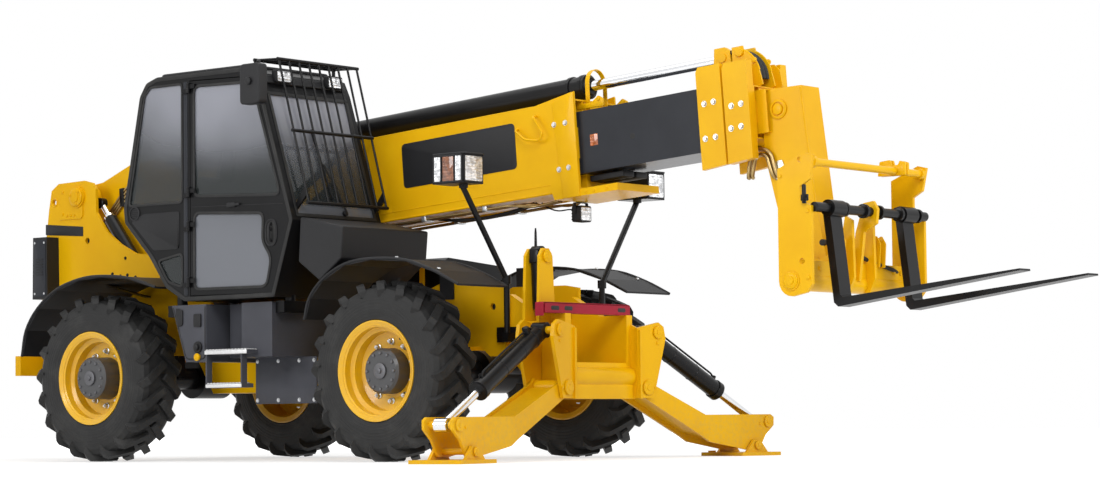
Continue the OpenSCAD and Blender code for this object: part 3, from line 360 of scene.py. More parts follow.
# Puts a list of closed patches (points, faces) into one mesh object that rides on a body
def addPiece(name, patches, finish, body="machine", smooth=40):
    points, faces, count = [], [], 0
    for p, f in patches:
        points.append(np.asarray(p, float).reshape(-1, 3))
        faces += [tuple(int(i) + count for i in face) for face in f]
        count += len(points[-1])
    mesh = bpy.data.meshes.new(name)
    mesh.from_pydata(np.concatenate(points).tolist(), [], faces)
    mesh.materials.append(finishes[finish])
    piece = bpy.data.objects.new(name, mesh)
    bpy.context.collection.objects.link(piece)
    mesh.shade_smooth()
    mesh.set_sharp_from_angle(angle=math.radians(smooth))
    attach(piece, body)
    return piece


# Faces of a grid of rows x columns whose columns close round; open ends are filled with one face each
def gridFaces(rows, columns, closedRows=False):
    i = np.arange(rows if closedRows else rows - 1)[:, None] * columns
    j = np.arange(columns)[None, :]
    k = (j + 1) % columns
    up = (i + columns) % (rows * columns)
    quads = np.stack([i + j, i + k, up + k, up + j], -1).reshape(-1, 4).tolist()
    if not closedRows:
        quads += [list(range(columns))[::-1], list(range((rows - 1) * columns, rows * columns))]
    return quads


def unit(v):
    return v / np.linalg.norm(v, axis=-1, keepdims=True)


# A smooth line through points: each span is the cubic whose end slopes are half the chord over its neighbours
def smoothLine(points, steps=8):
    p = np.asarray(points, float)
    p = np.concatenate([[2 * p[0] - p[1]], p, [2 * p[-1] - p[-2]]])
    t = np.linspace(0, 1, steps, endpoint=False)[None, :, None]
    a, b, c, d = (p[i:len(p) - 3 + i, None, :] for i in range(4))
    line = 0.5 * (2 * b + (c - a) * t + (2 * a - 5 * b + 4 * c - d) * t ** 2
                  + (3 * b - a - 3 * c + d) * t ** 3)
    return np.concatenate([line.reshape(-1, 3), p[-2:-1]])


# Line with its corners rounded: each inner point becomes a quarter-bend b(t) = (1-t)^2 a + 2t(1-t) p + t^2 c,
# where a and c lie at distance r from it on its two spans
def bentLine(points, r=0.03, n=6):
    p = np.asarray(points, float)
    before, after = unit(p[:-2] - p[1:-1]), unit(p[2:] - p[1:-1])
    t = np.linspace(0, 1, n)[None, :, None]
    a, b, c = (p[1:-1] + before * r)[:, None], p[1:-1, None], (p[1:-1] + after * r)[:, None]
    bends = ((1 - t) ** 2 * a + 2 * t * (1 - t) * b + t ** 2 * c).reshape(-1, 3)
    return np.concatenate([p[:1], bends, p[-1:]])


# Frames along a line: side is the direction that the line's tangents use least, made square to each of them
def lineFrames(line, wide=None):
    along = unit(np.gradient(line, axis=0))
    least = np.linalg.svd(along)[2][-1] if wide is None else np.asarray(wide, float)
    side = unit(least - along * (along @ least)[:, None])
    return side, np.cross(along, side)


# Tube: point(i, j) = line(i) + radius(i) (cos(2 pi j / n) side(i) + sin(2 pi j / n) other(i))
def tube(line, radius, n=12):
    line = np.asarray(line, float)
    side, other = lineFrames(line)
    turn = np.linspace(0, 2 * np.pi, n, endpoint=False)
    r = np.broadcast_to(np.asarray(radius, float), len(line))[:, None, None]
    ring = np.cos(turn)[None, :, None] * side[:, None] + np.sin(turn)[None, :, None] * other[:, None]
    return (line[:, None] + r * ring).reshape(-1, 3), gridFaces(len(line), n)


# Band: a flat strip with bevelled edges carried along a line, its width in the direction wide
def band(line, wide, width, thickness):
    line = np.asarray(line, float)
    side, other = lineFrames(line, wide)
    b = 0.25 * thickness
    x = np.array([1, 1, 1 - b / width, -1 + b / width, -1, -1, -1 + b / width, 1 - b / width]) * width / 2
    y = np.array([-0.5, 0.5, 1, 1, 0.5, -0.5, -1, -1]) * thickness / 2
    points = line[:, None] + x[None, :, None] * side[:, None] + y[None, :, None] * other[:, None]
    return points.reshape(-1, 3), gridFaces(len(line), 8)


# Turned form: profile rows (distance along the axis, radius) carried round the axis from a point
def turned(profile, origin, axis, n=32):
    profile = np.asarray(profile, float)
    axis = unit(np.asarray(axis, float))
    guess = np.array([0.0, 0, 1]) if abs(axis[2]) < 0.9 else np.array([1.0, 0, 0])
    side = unit(guess - axis * (guess @ axis))
    other = np.cross(axis, side)
    turn = np.linspace(0, 2 * np.pi, n, endpoint=False)
    ring = np.cos(turn)[None, :, None] * side + np.sin(turn)[None, :, None] * other
    points = np.asarray(origin, float) + profile[:, 0, None, None] * axis + profile[:, 1, None, None] * ring
    return points.reshape(-1, 3), gridFaces(len(profile), n)


# Outline with its corners rounded, each by a quarter-bend of n points between its two tangent points
def roundedOutline(points, radius, n=5):
    p = np.asarray(points, float)
    before, after = unit(np.roll(p, 1, 0) - p), unit(np.roll(p, -1, 0) - p)
    r = np.broadcast_to(np.asarray(radius, float), len(p))[:, None]
    t = np.linspace(0, 1, n)[None, :, None]
    a, b, c = (p + before * r)[:, None], p[:, None], (p + after * r)[:, None]
    return ((1 - t) ** 2 * a + 2 * t * (1 - t) * b + t ** 2 * c).reshape(-1, 2)


# Oval: (cos t, sin t), each to the power 2 / power, times the two half-widths
def oval(x, z, a, b, n=36, power=2.6):
    t = np.linspace(0, 2 * np.pi, n, endpoint=False)
    c, s = np.cos(t), np.sin(t)
    return np.stack([x + a * np.sign(c) * np.abs(c) ** (2 / power),
                     z + b * np.sign(s) * np.abs(s) ** (2 / power)], -1)


# Outline moved inwards by d along the mean normal of its two edges
def shrunk(outline, d):
    edge = unit(np.roll(outline, -1, 0) - outline)
    normal = np.stack([-edge[:, 1], edge[:, 0]], -1)
    last = np.roll(normal, 1, 0)
    return outline + d * (normal + last) / (1 + (normal * last).sum(-1, keepdims=True)).clip(0.3)


# Points of stacked outlines: across and upright are the 3-D directions of an outline's two coordinates, and
# each outline stands at its depth along their cross product
def inSpace(outlines, depths, origin, across, upright):
    across, upright = np.asarray(across, float), np.asarray(upright, float)
    return (np.asarray(origin) + outlines[..., :1] * across + outlines[..., 1:] * upright
            + depths * np.cross(across, upright))


# Plate with rounded edges: rings of one outline (anticlockwise), inset at both faces and full between
def slab(outline, origin, across, upright, thickness, edge=0.002, steps=3):
    outline = np.asarray(outline, float)
    turn = np.linspace(0, np.pi / 2, steps)
    inset, depth = edge * (1 - np.sin(turn)), edge * (1 - np.cos(turn))
    insets, depths = np.concatenate([inset, inset[::-1]]), np.concatenate([depth, thickness - depth[::-1]])
    rings = np.stack([shrunk(outline, d) for d in insets])
    return (inSpace(rings, depths[:, None, None], origin, across, upright),
            gridFaces(len(insets), len(outline)))


# Edging: a small section (inset, height) carried round a closed outline, from its inner foot to its outer one
def edging(outline, origin, across, upright, section):
    outline = np.asarray(outline, float)
    loops = np.stack([shrunk(outline, inset) for inset, height in section], 1)
    heights = np.array([height for inset, height in section])[None, :, None]
    points = inSpace(loops, heights, origin, across, upright)
    return points.reshape(-1, 3), gridFaces(len(outline), len(section), closedRows=True)


xWay, yWay, zWay = np.eye(3)


# Plates on the cab's side: outlines in x (from the rear axle) and z, growing towards -Y from y
def sidePlate(outline, y, thickness, edge=0.002):
    return slab(outline, at(0, y, 0), xWay, zWay, thickness, edge)


# Plates across the machine: outlines in y and z, growing towards +X from x
def frontPlate(outline, x, thickness, edge=0.002):
    return slab(outline, at(x, 0, 0), yWay, zWay, thickness, edge)


# Plates that lie flat: outlines in x (from the rear axle) and y, growing upwards from z
def flatPlate(outline, z, thickness, edge=0.002):
    return slab(outline, at(0, 0, z), xWay, yWay, thickness, edge)


def onBoom(u, y, w):
    return pivot + u * alongBoom + y * yWay + w * offBoom


# Plates on the boom's side: outlines in u along the boom and w square to it
def boomPlate(outline, y, thickness, edge=0.002):
    return slab(outline, onBoom(0, y, 0), alongBoom, offBoom, thickness, edge)


def rect(x0, y0, x1, y1, radius=0.006):
    return roundedOutline([(x0, y0), (x1, y0), (x1, y1), (x0, y1)], radius)


# Hexagon head with a washer, standing on a face that looks along axis
def boltHead(origin, axis, across=0.024, height=0.010, washer=True):
    r = across / 2 / math.cos(math.pi / 6)
    head = turned([(-0.002, r), (height * 0.8, r), (height, r * 0.86)], origin, axis, 6)
    return [turned([(-0.001, r * 1.25), (0.002, r * 1.25)], origin, axis, 16), head] if washer else [head]


# The same bolt head at several places
def boltRow(places, axis, across=0.024, height=0.010):
    return [patch for place in places for patch in boltHead(place, axis, across, height)]


# Bolt heads on a face that looks to the side: places in x (from the rear axle) and z, at one y
def sideBolts(places, y, across, height):
    return boltRow([at(x, y, z) for x, z in places], -yWay, across, height)


def mirrored(patches):
    return [(np.asarray(p).reshape(-1, 3) * (1, -1, 1), [tuple(reversed(f)) for f in faces])
            for p, faces in patches]


def bothSides(patches):
    return patches + mirrored(patches)


wheelValues = {"nuts": 10, "nutRing": 0.197, "hubBolts": 12, "hubRing": 0.118, "valveRing": 0.235}


# Wheel nuts on the disc, bolts and a plug on the hub's cap, a valve stem
def makeWheel(wheel, v):
    centre = np.array(joints["spin_" + wheel]["pos_m"])
    side = 1 if centre[1] > 0 else -1
    cap = 0.125 if wheel[0] == "f" else 0.175
    out = side * yWay
    nuts, bolts = [], []
    for a in 2 * np.pi * (np.arange(v["nuts"]) + 0.5) / v["nuts"]:
        seat = centre + v["nutRing"] * np.array([math.cos(a), 0, math.sin(a)]) + out * 0.0155
        nuts += boltHead(seat, out, 0.030, 0.024)
        nuts += [turned([(-0.012, 0.023), (0.001, 0.023), (0.003, 0.020)], seat, out, 16),
                 turned([(0.0, 0.009), (0.032, 0.009), (0.034, 0.007)], seat, out, 10)]
    addPiece("wheel_nuts_" + wheel, nuts, "steel", "wheel_" + wheel)
    for a in 2 * np.pi * np.arange(v["hubBolts"]) / v["hubBolts"]:
        seat = centre + v["hubRing"] * np.array([math.cos(a), 0, math.sin(a)]) + out * cap
        bolts += boltHead(seat, out, 0.019, 0.008, False)
    bolts.append(turned([(0.0, 0.052), (0.004, 0.052), (0.006, 0.049), (0.006, 0.018), (0.014, 0.017),
                         (0.016, 0.012)], centre + out * (cap + 0.006), out, 24))
    addPiece("hub_bolts_" + wheel, bolts, "iron", "wheel_" + wheel)
    stem = centre + out * 0.02 + v["valveRing"] * np.array([math.cos(1.1), 0, math.sin(1.1)])
    addPiece("valve_" + wheel, [turned([(0, 0.006), (0.022, 0.0055), (0.024, 0.007), (0.034, 0.007),
                                        (0.036, 0.005)], stem, out, 12)], "plastic", "wheel_" + wheel)


for wheelName in ("fl", "fr", "rl", "rr"):
    makeWheel(wheelName, wheelValues)
print("stage: wheels")

# Boom: plates, bolts, bars and pipes on the outer section

boomValues = {"side": -0.225, "bolt": 0.026, "pipe": 0.009, "hose": 0.014, "seam": 0.005}


def dressBoom(v):
    side = v["side"]
    panel = roundedOutline([(3.145, -0.345), (4.165, -0.345), (4.165, -0.035), (3.145, -0.035)], 0.035, 7)
    addPiece("boom_panel", [boomPlate(panel, side, 0.003, 0.001)], "plastic", "boom")
    collar = roundedOutline([(4.545, -0.597), (4.684, -0.597), (4.684, 0.098), (4.640, 0.094), (4.500, 0.050),
                             (4.520, -0.300)], 0.006)
    addPiece("boom_collar_plates", bothSides([boomPlate(collar, side, 0.008)]), "yellow", "boom")
    heads = [(3.530, 2.218), (3.625, 2.224), (3.570, 1.917), (3.651, 1.926)]
    addPiece("boom_bolts", bothSides(sideBolts(heads, side - 0.008, v["bolt"], 0.011)), "steel", "boom")
    # Lifting bar with its two welded feet
    bar = bentLine([at(3.210, side + 0.004, 2.212), at(3.225, side - 0.045, 2.195),
                    at(3.312, side - 0.05, 2.130), at(3.432, side - 0.05, 2.115),
                    at(3.467, side - 0.05, 2.159), at(3.380, side - 0.045, 2.280),
                    at(3.374, side + 0.004, 2.286)], 0.022)
    addPiece("lifting_bar", bothSides([tube(bar, 0.008, 12)]), "yellow", "boom")
    # Weld seam and the folded lip along the lower edge
    lip = [onBoom(u, side + 0.004, -0.548) for u in np.linspace(0.36, 4.44, 12)]
    addPiece("boom_lower_lip", bothSides([tube(lip, 0.009, 10),
                                          tube([p + 0.055 * offBoom - 0.004 * yWay for p in lip],
                                               v["seam"] * 0.6, 8)]), "yellow", "boom")
    upper = [onBoom(u, side + 0.004, 0.047) for u in np.linspace(1.02, 4.33, 10)]
    addPiece("boom_upper_seam", bothSides([tube(upper, v["seam"], 8)]), "yellow", "boom")


def dressBoomUnderside(v):
    low = -0.560
    pipes = [tube(bentLine([onBoom(1.1, y, low - 0.02), onBoom(4.05 + 0.05 * k, y, low - 0.02),
                            onBoom(4.2 + 0.05 * k, y * 0.6, low - 0.045), onBoom(4.42, y * 0.6, low - 0.03)],
                           0.05), v["pipe"], 10)
             for k, y in enumerate((-0.205, -0.178, -0.151, 0.151, 0.178))]
    addPiece("boom_pipes", pipes, "brass", "boom")
    clips = [slab(rect(u - 0.02, y - 0.045, u + 0.02, y + 0.045), onBoom(0, 0, low - 0.033), alongBoom, yWay,
                  0.034) for u in (1.6, 2.5, 3.3, 3.85) for y in (-0.178, 0.165)]
    addPiece("boom_pipe_clips", clips, "steel", "boom")
    hoses = [tube(smoothLine([onBoom(3.35, y, low - 0.018), onBoom(3.5, y, low - 0.045),
                              onBoom(3.75, y, low - 0.06), onBoom(4.0, y, low - 0.05),
                              onBoom(4.2, y, low - 0.02)]), 0.011, 12) for y in (-0.115, -0.085)]
    addPiece("boom_hoses", hoses, "rubber", "boom")
    # Work lamp under the collar: housing, hood, lens and stirrup
    lampX, lampY, lampZ = 3.495, 0.050, 1.638
    house = slab(rect(-0.062, -0.055, 0.062, 0.055, 0.018), at(lampX, lampY, lampZ), yWay, zWay, 0.075, 0.006)
    fins = [slab(rect(-0.05, z, 0.05, z + 0.006, 0.002), at(lampX - 0.012, lampY, lampZ), yWay, zWay, 0.014)
            for z in (-0.04, -0.02, 0, 0.02)]
    addPiece("work_lamp", [house] + fins, "plastic", "boom")
    pane = slab(rect(-0.052, -0.045, 0.052, 0.045, 0.012), at(lampX + 0.073, lampY, lampZ), yWay, zWay, 0.005)
    addPiece("work_lamp_lens", [pane], "lens", "boom")
    stirrup = [at(lampX + 0.03, lampY + s * 0.066, lampZ + d)
               for s, d in ((-1, 0.0), (-1, 0.075), (1, 0.075), (1, 0.0))]
    cable = smoothLine([at(lampX, lampY, lampZ + 0.03), at(lampX - 0.06, lampY - 0.01, lampZ + 0.035),
                        at(lampX - 0.14, lampY - 0.03, lampZ + 0.03),
                        at(lampX - 0.22, lampY - 0.04, lampZ + 0.055),
                        at(lampX - 0.27, lampY - 0.04, lampZ + 0.09)])
    addPiece("work_lamp_stirrup", [band(bentLine(stirrup, 0.01), xWay, 0.024, 0.004), tube(cable, 0.005, 8)],
             "plastic", "boom")


def dressExtensionRam():
    axis = onBoom(0, 0, 0.155)
    rings = [turned([(0, 0.079), (0.002, 0.086), (0.028, 0.086), (0.030, 0.079)], axis + u * alongBoom,
                    alongBoom, 40) for u in (4.50, 4.60)]
    gland = turned([(0, 0.080), (0.004, 0.084), (0.050, 0.084), (0.056, 0.078), (0.060, 0.060),
                    (0.074, 0.058), (0.078, 0.050)], axis + 4.600 * alongBoom, alongBoom, 40)
    addPiece("ram_gland", rings + [gland], "black", "boom")
    bow = [onBoom(4.700, -0.095, -0.02)] + [onBoom(4.705, -0.095 * math.cos(a), 0.155 + 0.105 * math.sin(a))
                                            for a in np.linspace(0, np.pi, 13)]
    addPiece("ram_strap", [band(np.array(bow + [onBoom(4.700, 0.095, -0.02)]), alongBoom, 0.034, 0.005)],
             "yellow", "boom")
    feet = [boomPlate(roundedOutline([(4.640, -0.010), (4.860, -0.015), (4.860, 0.035), (4.820, 0.060),
                                      (4.760, 0.020), (4.640, 0.020)], 0.008), y, 0.014)
            for y in (-0.125, 0.139)]
    studs = boltRow([onBoom(4.825, y, 0.035) for y in (-0.139, 0.125)], -yWay, 0.02, 0.008)
    addPiece("pad_brackets", feet + studs, "yellow", "boom")
    pads = [slab(rect(4.700, -0.13 + 0.14 * k, 4.980, -0.01 + 0.14 * k, 0.01), onBoom(0, 0, -0.500),
                 alongBoom, yWay, 0.038) for k in (0, 1)]
    addPiece("lower_pads", pads, "plastic", "boom")
    ledge = boltRow([onBoom(u, -0.225, -0.575) for u in (4.73, 4.80, 4.90)], -yWay, 0.016, 0.005)
    addPiece("ledge_bolts", bothSides(ledge), "yellow", "boom")


dressBoom(boomValues)
dressBoomUnderside(boomValues)
dressExtensionRam()
print("stage: boom")

# Inner sections: bolts of the wear pads, blank label, hoses over the guide plates, fittings of the nose

noseValues = {"collarBolt": 0.028, "pipe": 0.013, "hose": 0.016}


def dressSections(v):
    side = -0.225
    second = [(4.753, 2.261), (4.826, 2.270), (4.760, 2.037), (4.839, 2.045)]
    third = [(4.964, 2.232), (5.038, 2.241), (4.961, 2.089), (5.038, 2.098)]
    for name, places, body in (("second", second, "boom_two"), ("third", third, "boom_three")):
        addPiece("collar_bolts_" + name, bothSides(sideBolts(places, side, v["collarBolt"], 0.013)),
                 "steel", body)
    addPiece("blank_label", [boomPlate(rect(4.770, -0.275, 4.834, -0.200, 0.004), -0.190, 0.001, 0.0004)],
             "label", "boom_two")
    # A thin dark disc on the second section: painted shade standing for the inside of a drain hole
    hole = onBoom(5.120, -0.190, -0.260)
    addPiece("drain_hole", [turned([(0, 0.020), (0.001, 0.019)], hole, -yWay, 24)], "rubber", "boom_two")
    # Studs on the upper ears and the bosses of the guide rollers
    ears = [turned([(0, 0.030), (0.010, 0.030), (0.014, 0.026)], onBoom(5.945, y, 0.168), -yWay, 24)
            for y in (-0.095, 0.064)]
    ears += [turned([(0, 0.018), (0.012, 0.018), (0.014, 0.015)], onBoom(6.055, y, 0.100), -yWay, 20)
             for y in (-0.095, 0.064)]
    addPiece("guide_bosses", ears, "yellow", "boom_three")
    turns = np.radians(np.linspace(98, -2, 14))
    hoses = [tube(np.array([onBoom(5.875 + 0.19 * math.cos(a), y, -0.010 + 0.19 * math.sin(a))
                            for a in turns]), v["hose"], 12) for y in (-0.062, -0.025, 0.012)]
    addPiece("guide_hoses", hoses, "rubber", "boom_three")
    edges = [tube(np.array([onBoom(5.875 + 0.212 * math.cos(a), y, -0.010 + 0.212 * math.sin(a))
                            for a in np.radians(np.linspace(62, 12, 10))]), 0.007, 8)
             for y in (-0.089, 0.046)]
    addPiece("guide_edges", edges, "yellow", "boom_three")


def dressNose(v):
    side = -0.1
    boss = at(5.240, side, 2.200)
    rings = [turned([(0, 0.062), (0.010, 0.062), (0.014, 0.056), (0.014, 0.046), (0.006, 0.044),
                     (0.006, 0.036), (0.018, 0.035), (0.020, 0.030)], boss, -yWay, 40)]
    strip = [at(5.405, side, 2.330), at(5.452, side, 1.985), at(5.505, side, 1.600)]
    addPiece("nose_boss", bothSides(rings + [tube(strip, 0.006, 8)]), "yellow", "boom_four")
    pipes = []
    for k in (0, 1):
        r, y = 0.055 + 0.034 * k, side - 0.018
        arc = [at(5.115 + r * math.cos(a), y, 1.865 + r * math.sin(a))
               for a in np.linspace(0.9 * np.pi, 0.05 * np.pi, 10)]
        start = [at(5.03 - 0.03 * k, side + 0.01, 1.78), at(5.045 - 0.03 * k, y, 1.79)]
        pipes.append(tube(smoothLine(start + arc + [at(5.20 + 0.03 * k, y, 1.79),
                                                    at(5.215 + 0.03 * k, side + 0.01, 1.76)], 3), v["pipe"],
                          12))
    addPiece("nose_pipes", pipes, "brass", "boom_four")
    plate = roundedOutline([(5.205, 1.765), (5.285, 1.735), (5.300, 1.790), (5.262, 1.880), (5.222, 1.875)],
                           0.012)
    nut = boltHead(at(5.265, side - 0.008, 1.790), -yWay, 0.03, 0.012)
    addPiece("nose_lever", [sidePlate(plate, side, 0.008)] + nut, "steel", "boom_four")
    fitting = turned([(0, 0.016), (0.016, 0.016), (0.018, 0.011), (0.040, 0.010)], at(5.275, side, 1.665),
                     -yWay, 16)
    addPiece("nose_fitting", [fitting, tube(bentLine([at(5.275, side - 0.036, 1.665),
                                                      at(5.275, side - 0.045, 1.64),
                                                      at(5.31, side + 0.004, 1.56)], 0.01), 0.007, 10)],
             "brass", "boom_four")
    pin = turned([(0, 0.055), (0.008, 0.055), (0.012, 0.050), (0.012, 0.030), (0.018, 0.028)],
                 at(5.5, -0.140, 1.16), -yWay, 36)
    addPiece("tilt_pin_caps", bothSides([pin]), "yellow", "head")


dressSections(noseValues)
dressNose(noseValues)
print("stage: inner sections and nose")

# Carriage: lock pin, collars and hooks on the shaft, cross pipe, bolts on the plates


def dressCarriage():
    collars = [turned([(0, 0.030), (0.003, 0.045), (0.026, 0.045), (0.029, 0.030)], at(5.846, y, 1.524), yWay,
                      32) for y in (-0.32, -0.10, 0.07, 0.30, 0.52)]
    addPiece("shaft_collars", collars, "black", "head")
    rings = [turned([(0, 0.024), (0.002, 0.036), (0.034, 0.036), (0.036, 0.024)], at(5.826, y, 1.797), yWay,
                    28) for y in (-0.629, 0.594)]
    addPiece("bar_collars", rings, "yellow", "head")
    hook = roundedOutline([(5.700, 1.770), (5.900, 1.770), (5.900, 1.850), (5.862, 1.862), (5.848, 1.835),
                           (5.800, 1.835), (5.790, 1.870), (5.715, 1.862)], 0.008)
    addPiece("hook_plates", [slab(hook, at(0, y, 0), xWay, zWay, 0.020) for y in (0.37, 0.335)], "yellow",
             "head")
    lock = [turned([(0, 0.013), (0.110, 0.013), (0.114, 0.010)], at(5.800, -0.668, 1.545), zWay, 20),
            turned([(0, 0.020), (0.018, 0.020)], at(5.800, -0.668, 1.560), zWay, 20)]
    addPiece("lock_pin", lock + [sidePlate(rect(5.775, 1.560, 5.825, 1.600), -0.655, 0.012)], "black", "head")
    plateBolts = sideBolts(((5.815, 1.500), (5.815, 1.10), (5.620, 1.72)), -0.655, 0.022, 0.008)
    boss = turned([(0, 0.050), (0.006, 0.050), (0.010, 0.045), (0.010, 0.028), (0.016, 0.026)],
                  at(5.690, -0.661, 1.085), -yWay, 36)
    addPiece("carriage_bolts", bothSides(plateBolts + [boss]), "yellow", "head")
    pipe = bentLine([at(5.690, -0.30, 1.33), at(5.700, -0.12, 1.32), at(5.745, 0.10, 1.235),
                     at(5.745, 0.42, 1.18), at(5.72, 0.50, 1.165)], 0.05)
    ends = [turned([(0, 0.020), (0.03, 0.020), (0.032, 0.016)], place, yWay, 14)
            for place in (at(5.690, -0.315, 1.33), at(5.740, 0.11, 1.232), at(5.72, 0.47, 1.168))]
    addPiece("cross_pipe", [tube(pipe, 0.013, 12)] + ends, "rubber", "head")
    brackets = [sidePlate(roundedOutline([(5.705, 1.190), (5.775, 1.190), (5.785, 1.340), (5.755, 1.390),
                                          (5.712, 1.370)], 0.008), y, 0.012)
                for y in (-0.25, -0.19, 0.21, 0.27)]
    studs = boltRow([at(5.740, y, 1.165) for y in (-0.50, -0.42, 0.42, 0.50)], xWay, 0.024, 0.009)
    addPiece("carriage_lugs", brackets + studs, "yellow", "head")


dressCarriage()
print("stage: carriage")

# Stabilisers: pin heads, pipes and valve blocks of the rams, painted shade of the gusset's slots

stabiliserValues = {"splay": 7.0, "pipe": 0.007, "topPin": (0.098, 0.372), "endPin": (1.237, -0.236),
                    "footPin": (1.095, -0.400)}


def onLeg(side, x, v, w):
    splay = math.radians(stabiliserValues["splay"])
    base = np.array(joints["leg_left_swing" if side > 0 else "leg_right_swing"]["pos_m"])
    return base + np.array([x * math.cos(splay) + v * math.sin(splay),
                            side * (v * math.cos(splay) - x * math.sin(splay)), w])


def legWay(side):
    return onLeg(side, 1, 0, 0) - onLeg(side, 0, 0, 0)


def pinHead(place, axis, radius):
    return turned([(-0.002, radius), (0.006, radius), (0.009, radius - 0.003), (0.009, radius * 0.45),
                   (0.013, radius * 0.4)], place, axis, 28)


# Open ring round a leg ram's barrel, whose inner radius is 59.5 mm
def ramRing(place, along, way, radius, height):
    wall = radius - 0.0595
    return edging(oval(0, 0, radius, radius, 32, 2), place, way, np.cross(along, way),
                  [(wall, 0), (wall, height), (0.003, height), (0, height - 0.003), (0, 0.003), (0.003, 0)])


def dressStabiliser(side, v):
    name = "left" if side > 0 else "right"
    way = legWay(side)
    frameHeads, legHeads, footHeads = [], [], []
    for s in (-1, 1):
        frameHeads += [pinHead(onLeg(side, s * 0.151, *v["topPin"]), s * way, 0.042),
                       pinHead(onLeg(side, s * 0.151, 0, 0), s * way, 0.05)]
        frameHeads += boltHead(onLeg(side, s * 0.145, 0.098, 0.30), s * way, 0.018, 0.007)
        frameHeads += boltHead(onLeg(side, s * 0.145, 0.07, 0.0), s * way, 0.018, 0.007)
        legHeads.append(pinHead(onLeg(side, s * 0.120, *v["endPin"]), s * way, 0.040))
        legHeads += boltHead(onLeg(side, s * 0.115, 1.16, -0.25), s * way, 0.018, 0.007)
        footHeads.append(pinHead(onLeg(side, s * 0.151, *v["footPin"]), s * way, 0.030))
    addPiece("frame_pins_" + name, frameHeads, "yellow")
    addPiece("leg_pins_" + name, legHeads, "yellow", "leg_" + name + "_body")
    addPiece("foot_pins_" + name, footHeads, "yellow", "foot_" + name + "_body")
    top, end = onLeg(side, 0, *v["topPin"]), onLeg(side, 0, *v["endPin"])
    along = unit(end - top)
    up = np.cross(along, way)
    up = up * np.sign(up[2])
    rings = [ramRing(top + d * along, along, way, radius, height)
             for d, radius, height in ((0.795, 0.068, 0.050), (0.12, 0.064, 0.023))]
    addPiece("leg_ram_gland_" + name, rings, "black", "leg_cylinder_" + name)
    run = [top + 0.10 * along + 0.055 * up, top + 0.12 * along + 0.082 * up, top + 0.74 * along + 0.082 * up,
           top + 0.77 * along + 0.055 * up]
    block = [turned([(0, 0.024), (0.05, 0.024), (0.052, 0.020)], top + 0.16 * along + 0.050 * up, up, 6),
             turned([(0, 0.014), (0.03, 0.014)], top + 0.77 * along + 0.052 * up, up, 12)]
    addPiece("leg_ram_pipe_" + name, [tube(bentLine(run, 0.02), v["pipe"], 10)] + block, "black",
             "leg_cylinder_" + name)
    clips = [ramRing(top + d * along, along, way, 0.0625, 0.008) for d in (0.30, 0.55)]
    addPiece("leg_ram_clips_" + name, clips, "black", "leg_cylinder_" + name)
    footV = v["footPin"][0]
    outWay = onLeg(side, 0, 1, 0) - onLeg(side, 0, 0, 0)
    foot = [slab(rect(-0.19, -0.03 + footV + d, -0.165, 0.03 + footV + d), onLeg(side, 0, 0, -0.4491), way,
                 outWay, 0.012) for d in (-0.12, 0.12)]
    if side < 0:  # way and outWay span a left-handed pair here, so the faces are turned round
        foot = [(p, [tuple(reversed(f)) for f in faces]) for p, faces in foot]
    addPiece("foot_cleats_" + name, foot, "yellow", "foot_" + name + "_body")


def dressTower():
    # Sway ram between the tower's plates, with its clevis and pin heads
    heads = [pinHead(at(3.603, -0.405, 1.335), xWay, 0.040), pinHead(at(3.440, -0.405, 1.335), -xWay, 0.040)]
    addPiece("tower_pins", heads, "yellow")
    clevis = [frontPlate(roundedOutline([(-0.455, 1.29), (-0.355, 1.29), (-0.360, 1.38), (-0.385, 1.405),
                                         (-0.425, 1.405), (-0.450, 1.38)], 0.010), 3.485, 0.075, 0.006),
              turned([(0, 0.050), (0.30, 0.060), (0.31, 0.052)], at(3.522, -0.400, 1.300), (0, 0.10, -1), 28),
              turned([(0, 0.010), (0.10, 0.008), (0.13, 0.005)], at(3.50, -0.40, 1.395), zWay, 14)]
    addPiece("sway_ram", clevis, "black")
    # Thin dark plates on the gusset: painted shade standing for its slots
    slots = [slab(rect(y, 0.978, y + 0.085, 1.006, 0.013), at(3.7045, 0, 0), yWay, zWay, 0.001, 0.0004)
             for y in (-0.50, -0.36, 0.21)]
    addPiece("strut_slots", slots, "rubber")
    straps = [band(bentLine([at(x, -0.567, 0.94), at(x, -0.567, 1.028), at(x, 0.35, 1.028),
                             at(x, 0.35, 0.94)], 0.01), xWay, 0.035, 0.005) for x in (3.645, 3.680)]
    addPiece("strut_straps", straps, "red")


for legSide in (1, -1):
    dressStabiliser(legSide, stabiliserValues)
dressTower()
print("stage: stabilisers")

# Cab: rubber edges, seals, handle, latch, vent, roof, lamps, wiper, mirror

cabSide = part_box("door_glass")[0][1] - 0.006
cabValues = {"seal": 0.016, "sealHeight": 0.006, "edge": 0.030, "edgeHeight": 0.009}
cabOutline = [(0.337, 1.790), (0.350, 1.683), (0.600, 1.436), (0.765, 1.212), (0.949, 1.112), (1.818, 1.112),
              (1.993, 1.626), (1.700, 2.546), (1.650, 2.650), (1.550, 2.695), (0.680, 2.695), (0.570, 2.660),
              (0.505, 2.570)]
quarterPane = [(0.392, 1.806), (0.925, 1.806), (0.925, 2.625), (0.610, 2.625), (0.555, 2.570)]
lowPane = [(0.690, 1.400), (0.790, 1.256), (0.925, 1.216), (0.925, 1.440)]
doorUpper = [(1.052, 1.842), (1.870, 1.806), (1.640, 2.508), (1.598, 2.584), (1.052, 2.598)]
doorLower = [(1.052, 1.196), (1.742, 1.190), (1.786, 1.380), (1.702, 1.490), (1.712, 1.682), (1.052, 1.716)]


# Section of a seal: rises from its inner foot, is flat on top, falls to its outer foot
def sealSection(width, height, overlap):
    return [(overlap, 0), (overlap, height * 0.7), (overlap - width * 0.2, height),
            (overlap - width * 0.8, height), (overlap - width, height * 0.7), (overlap - width, 0)]


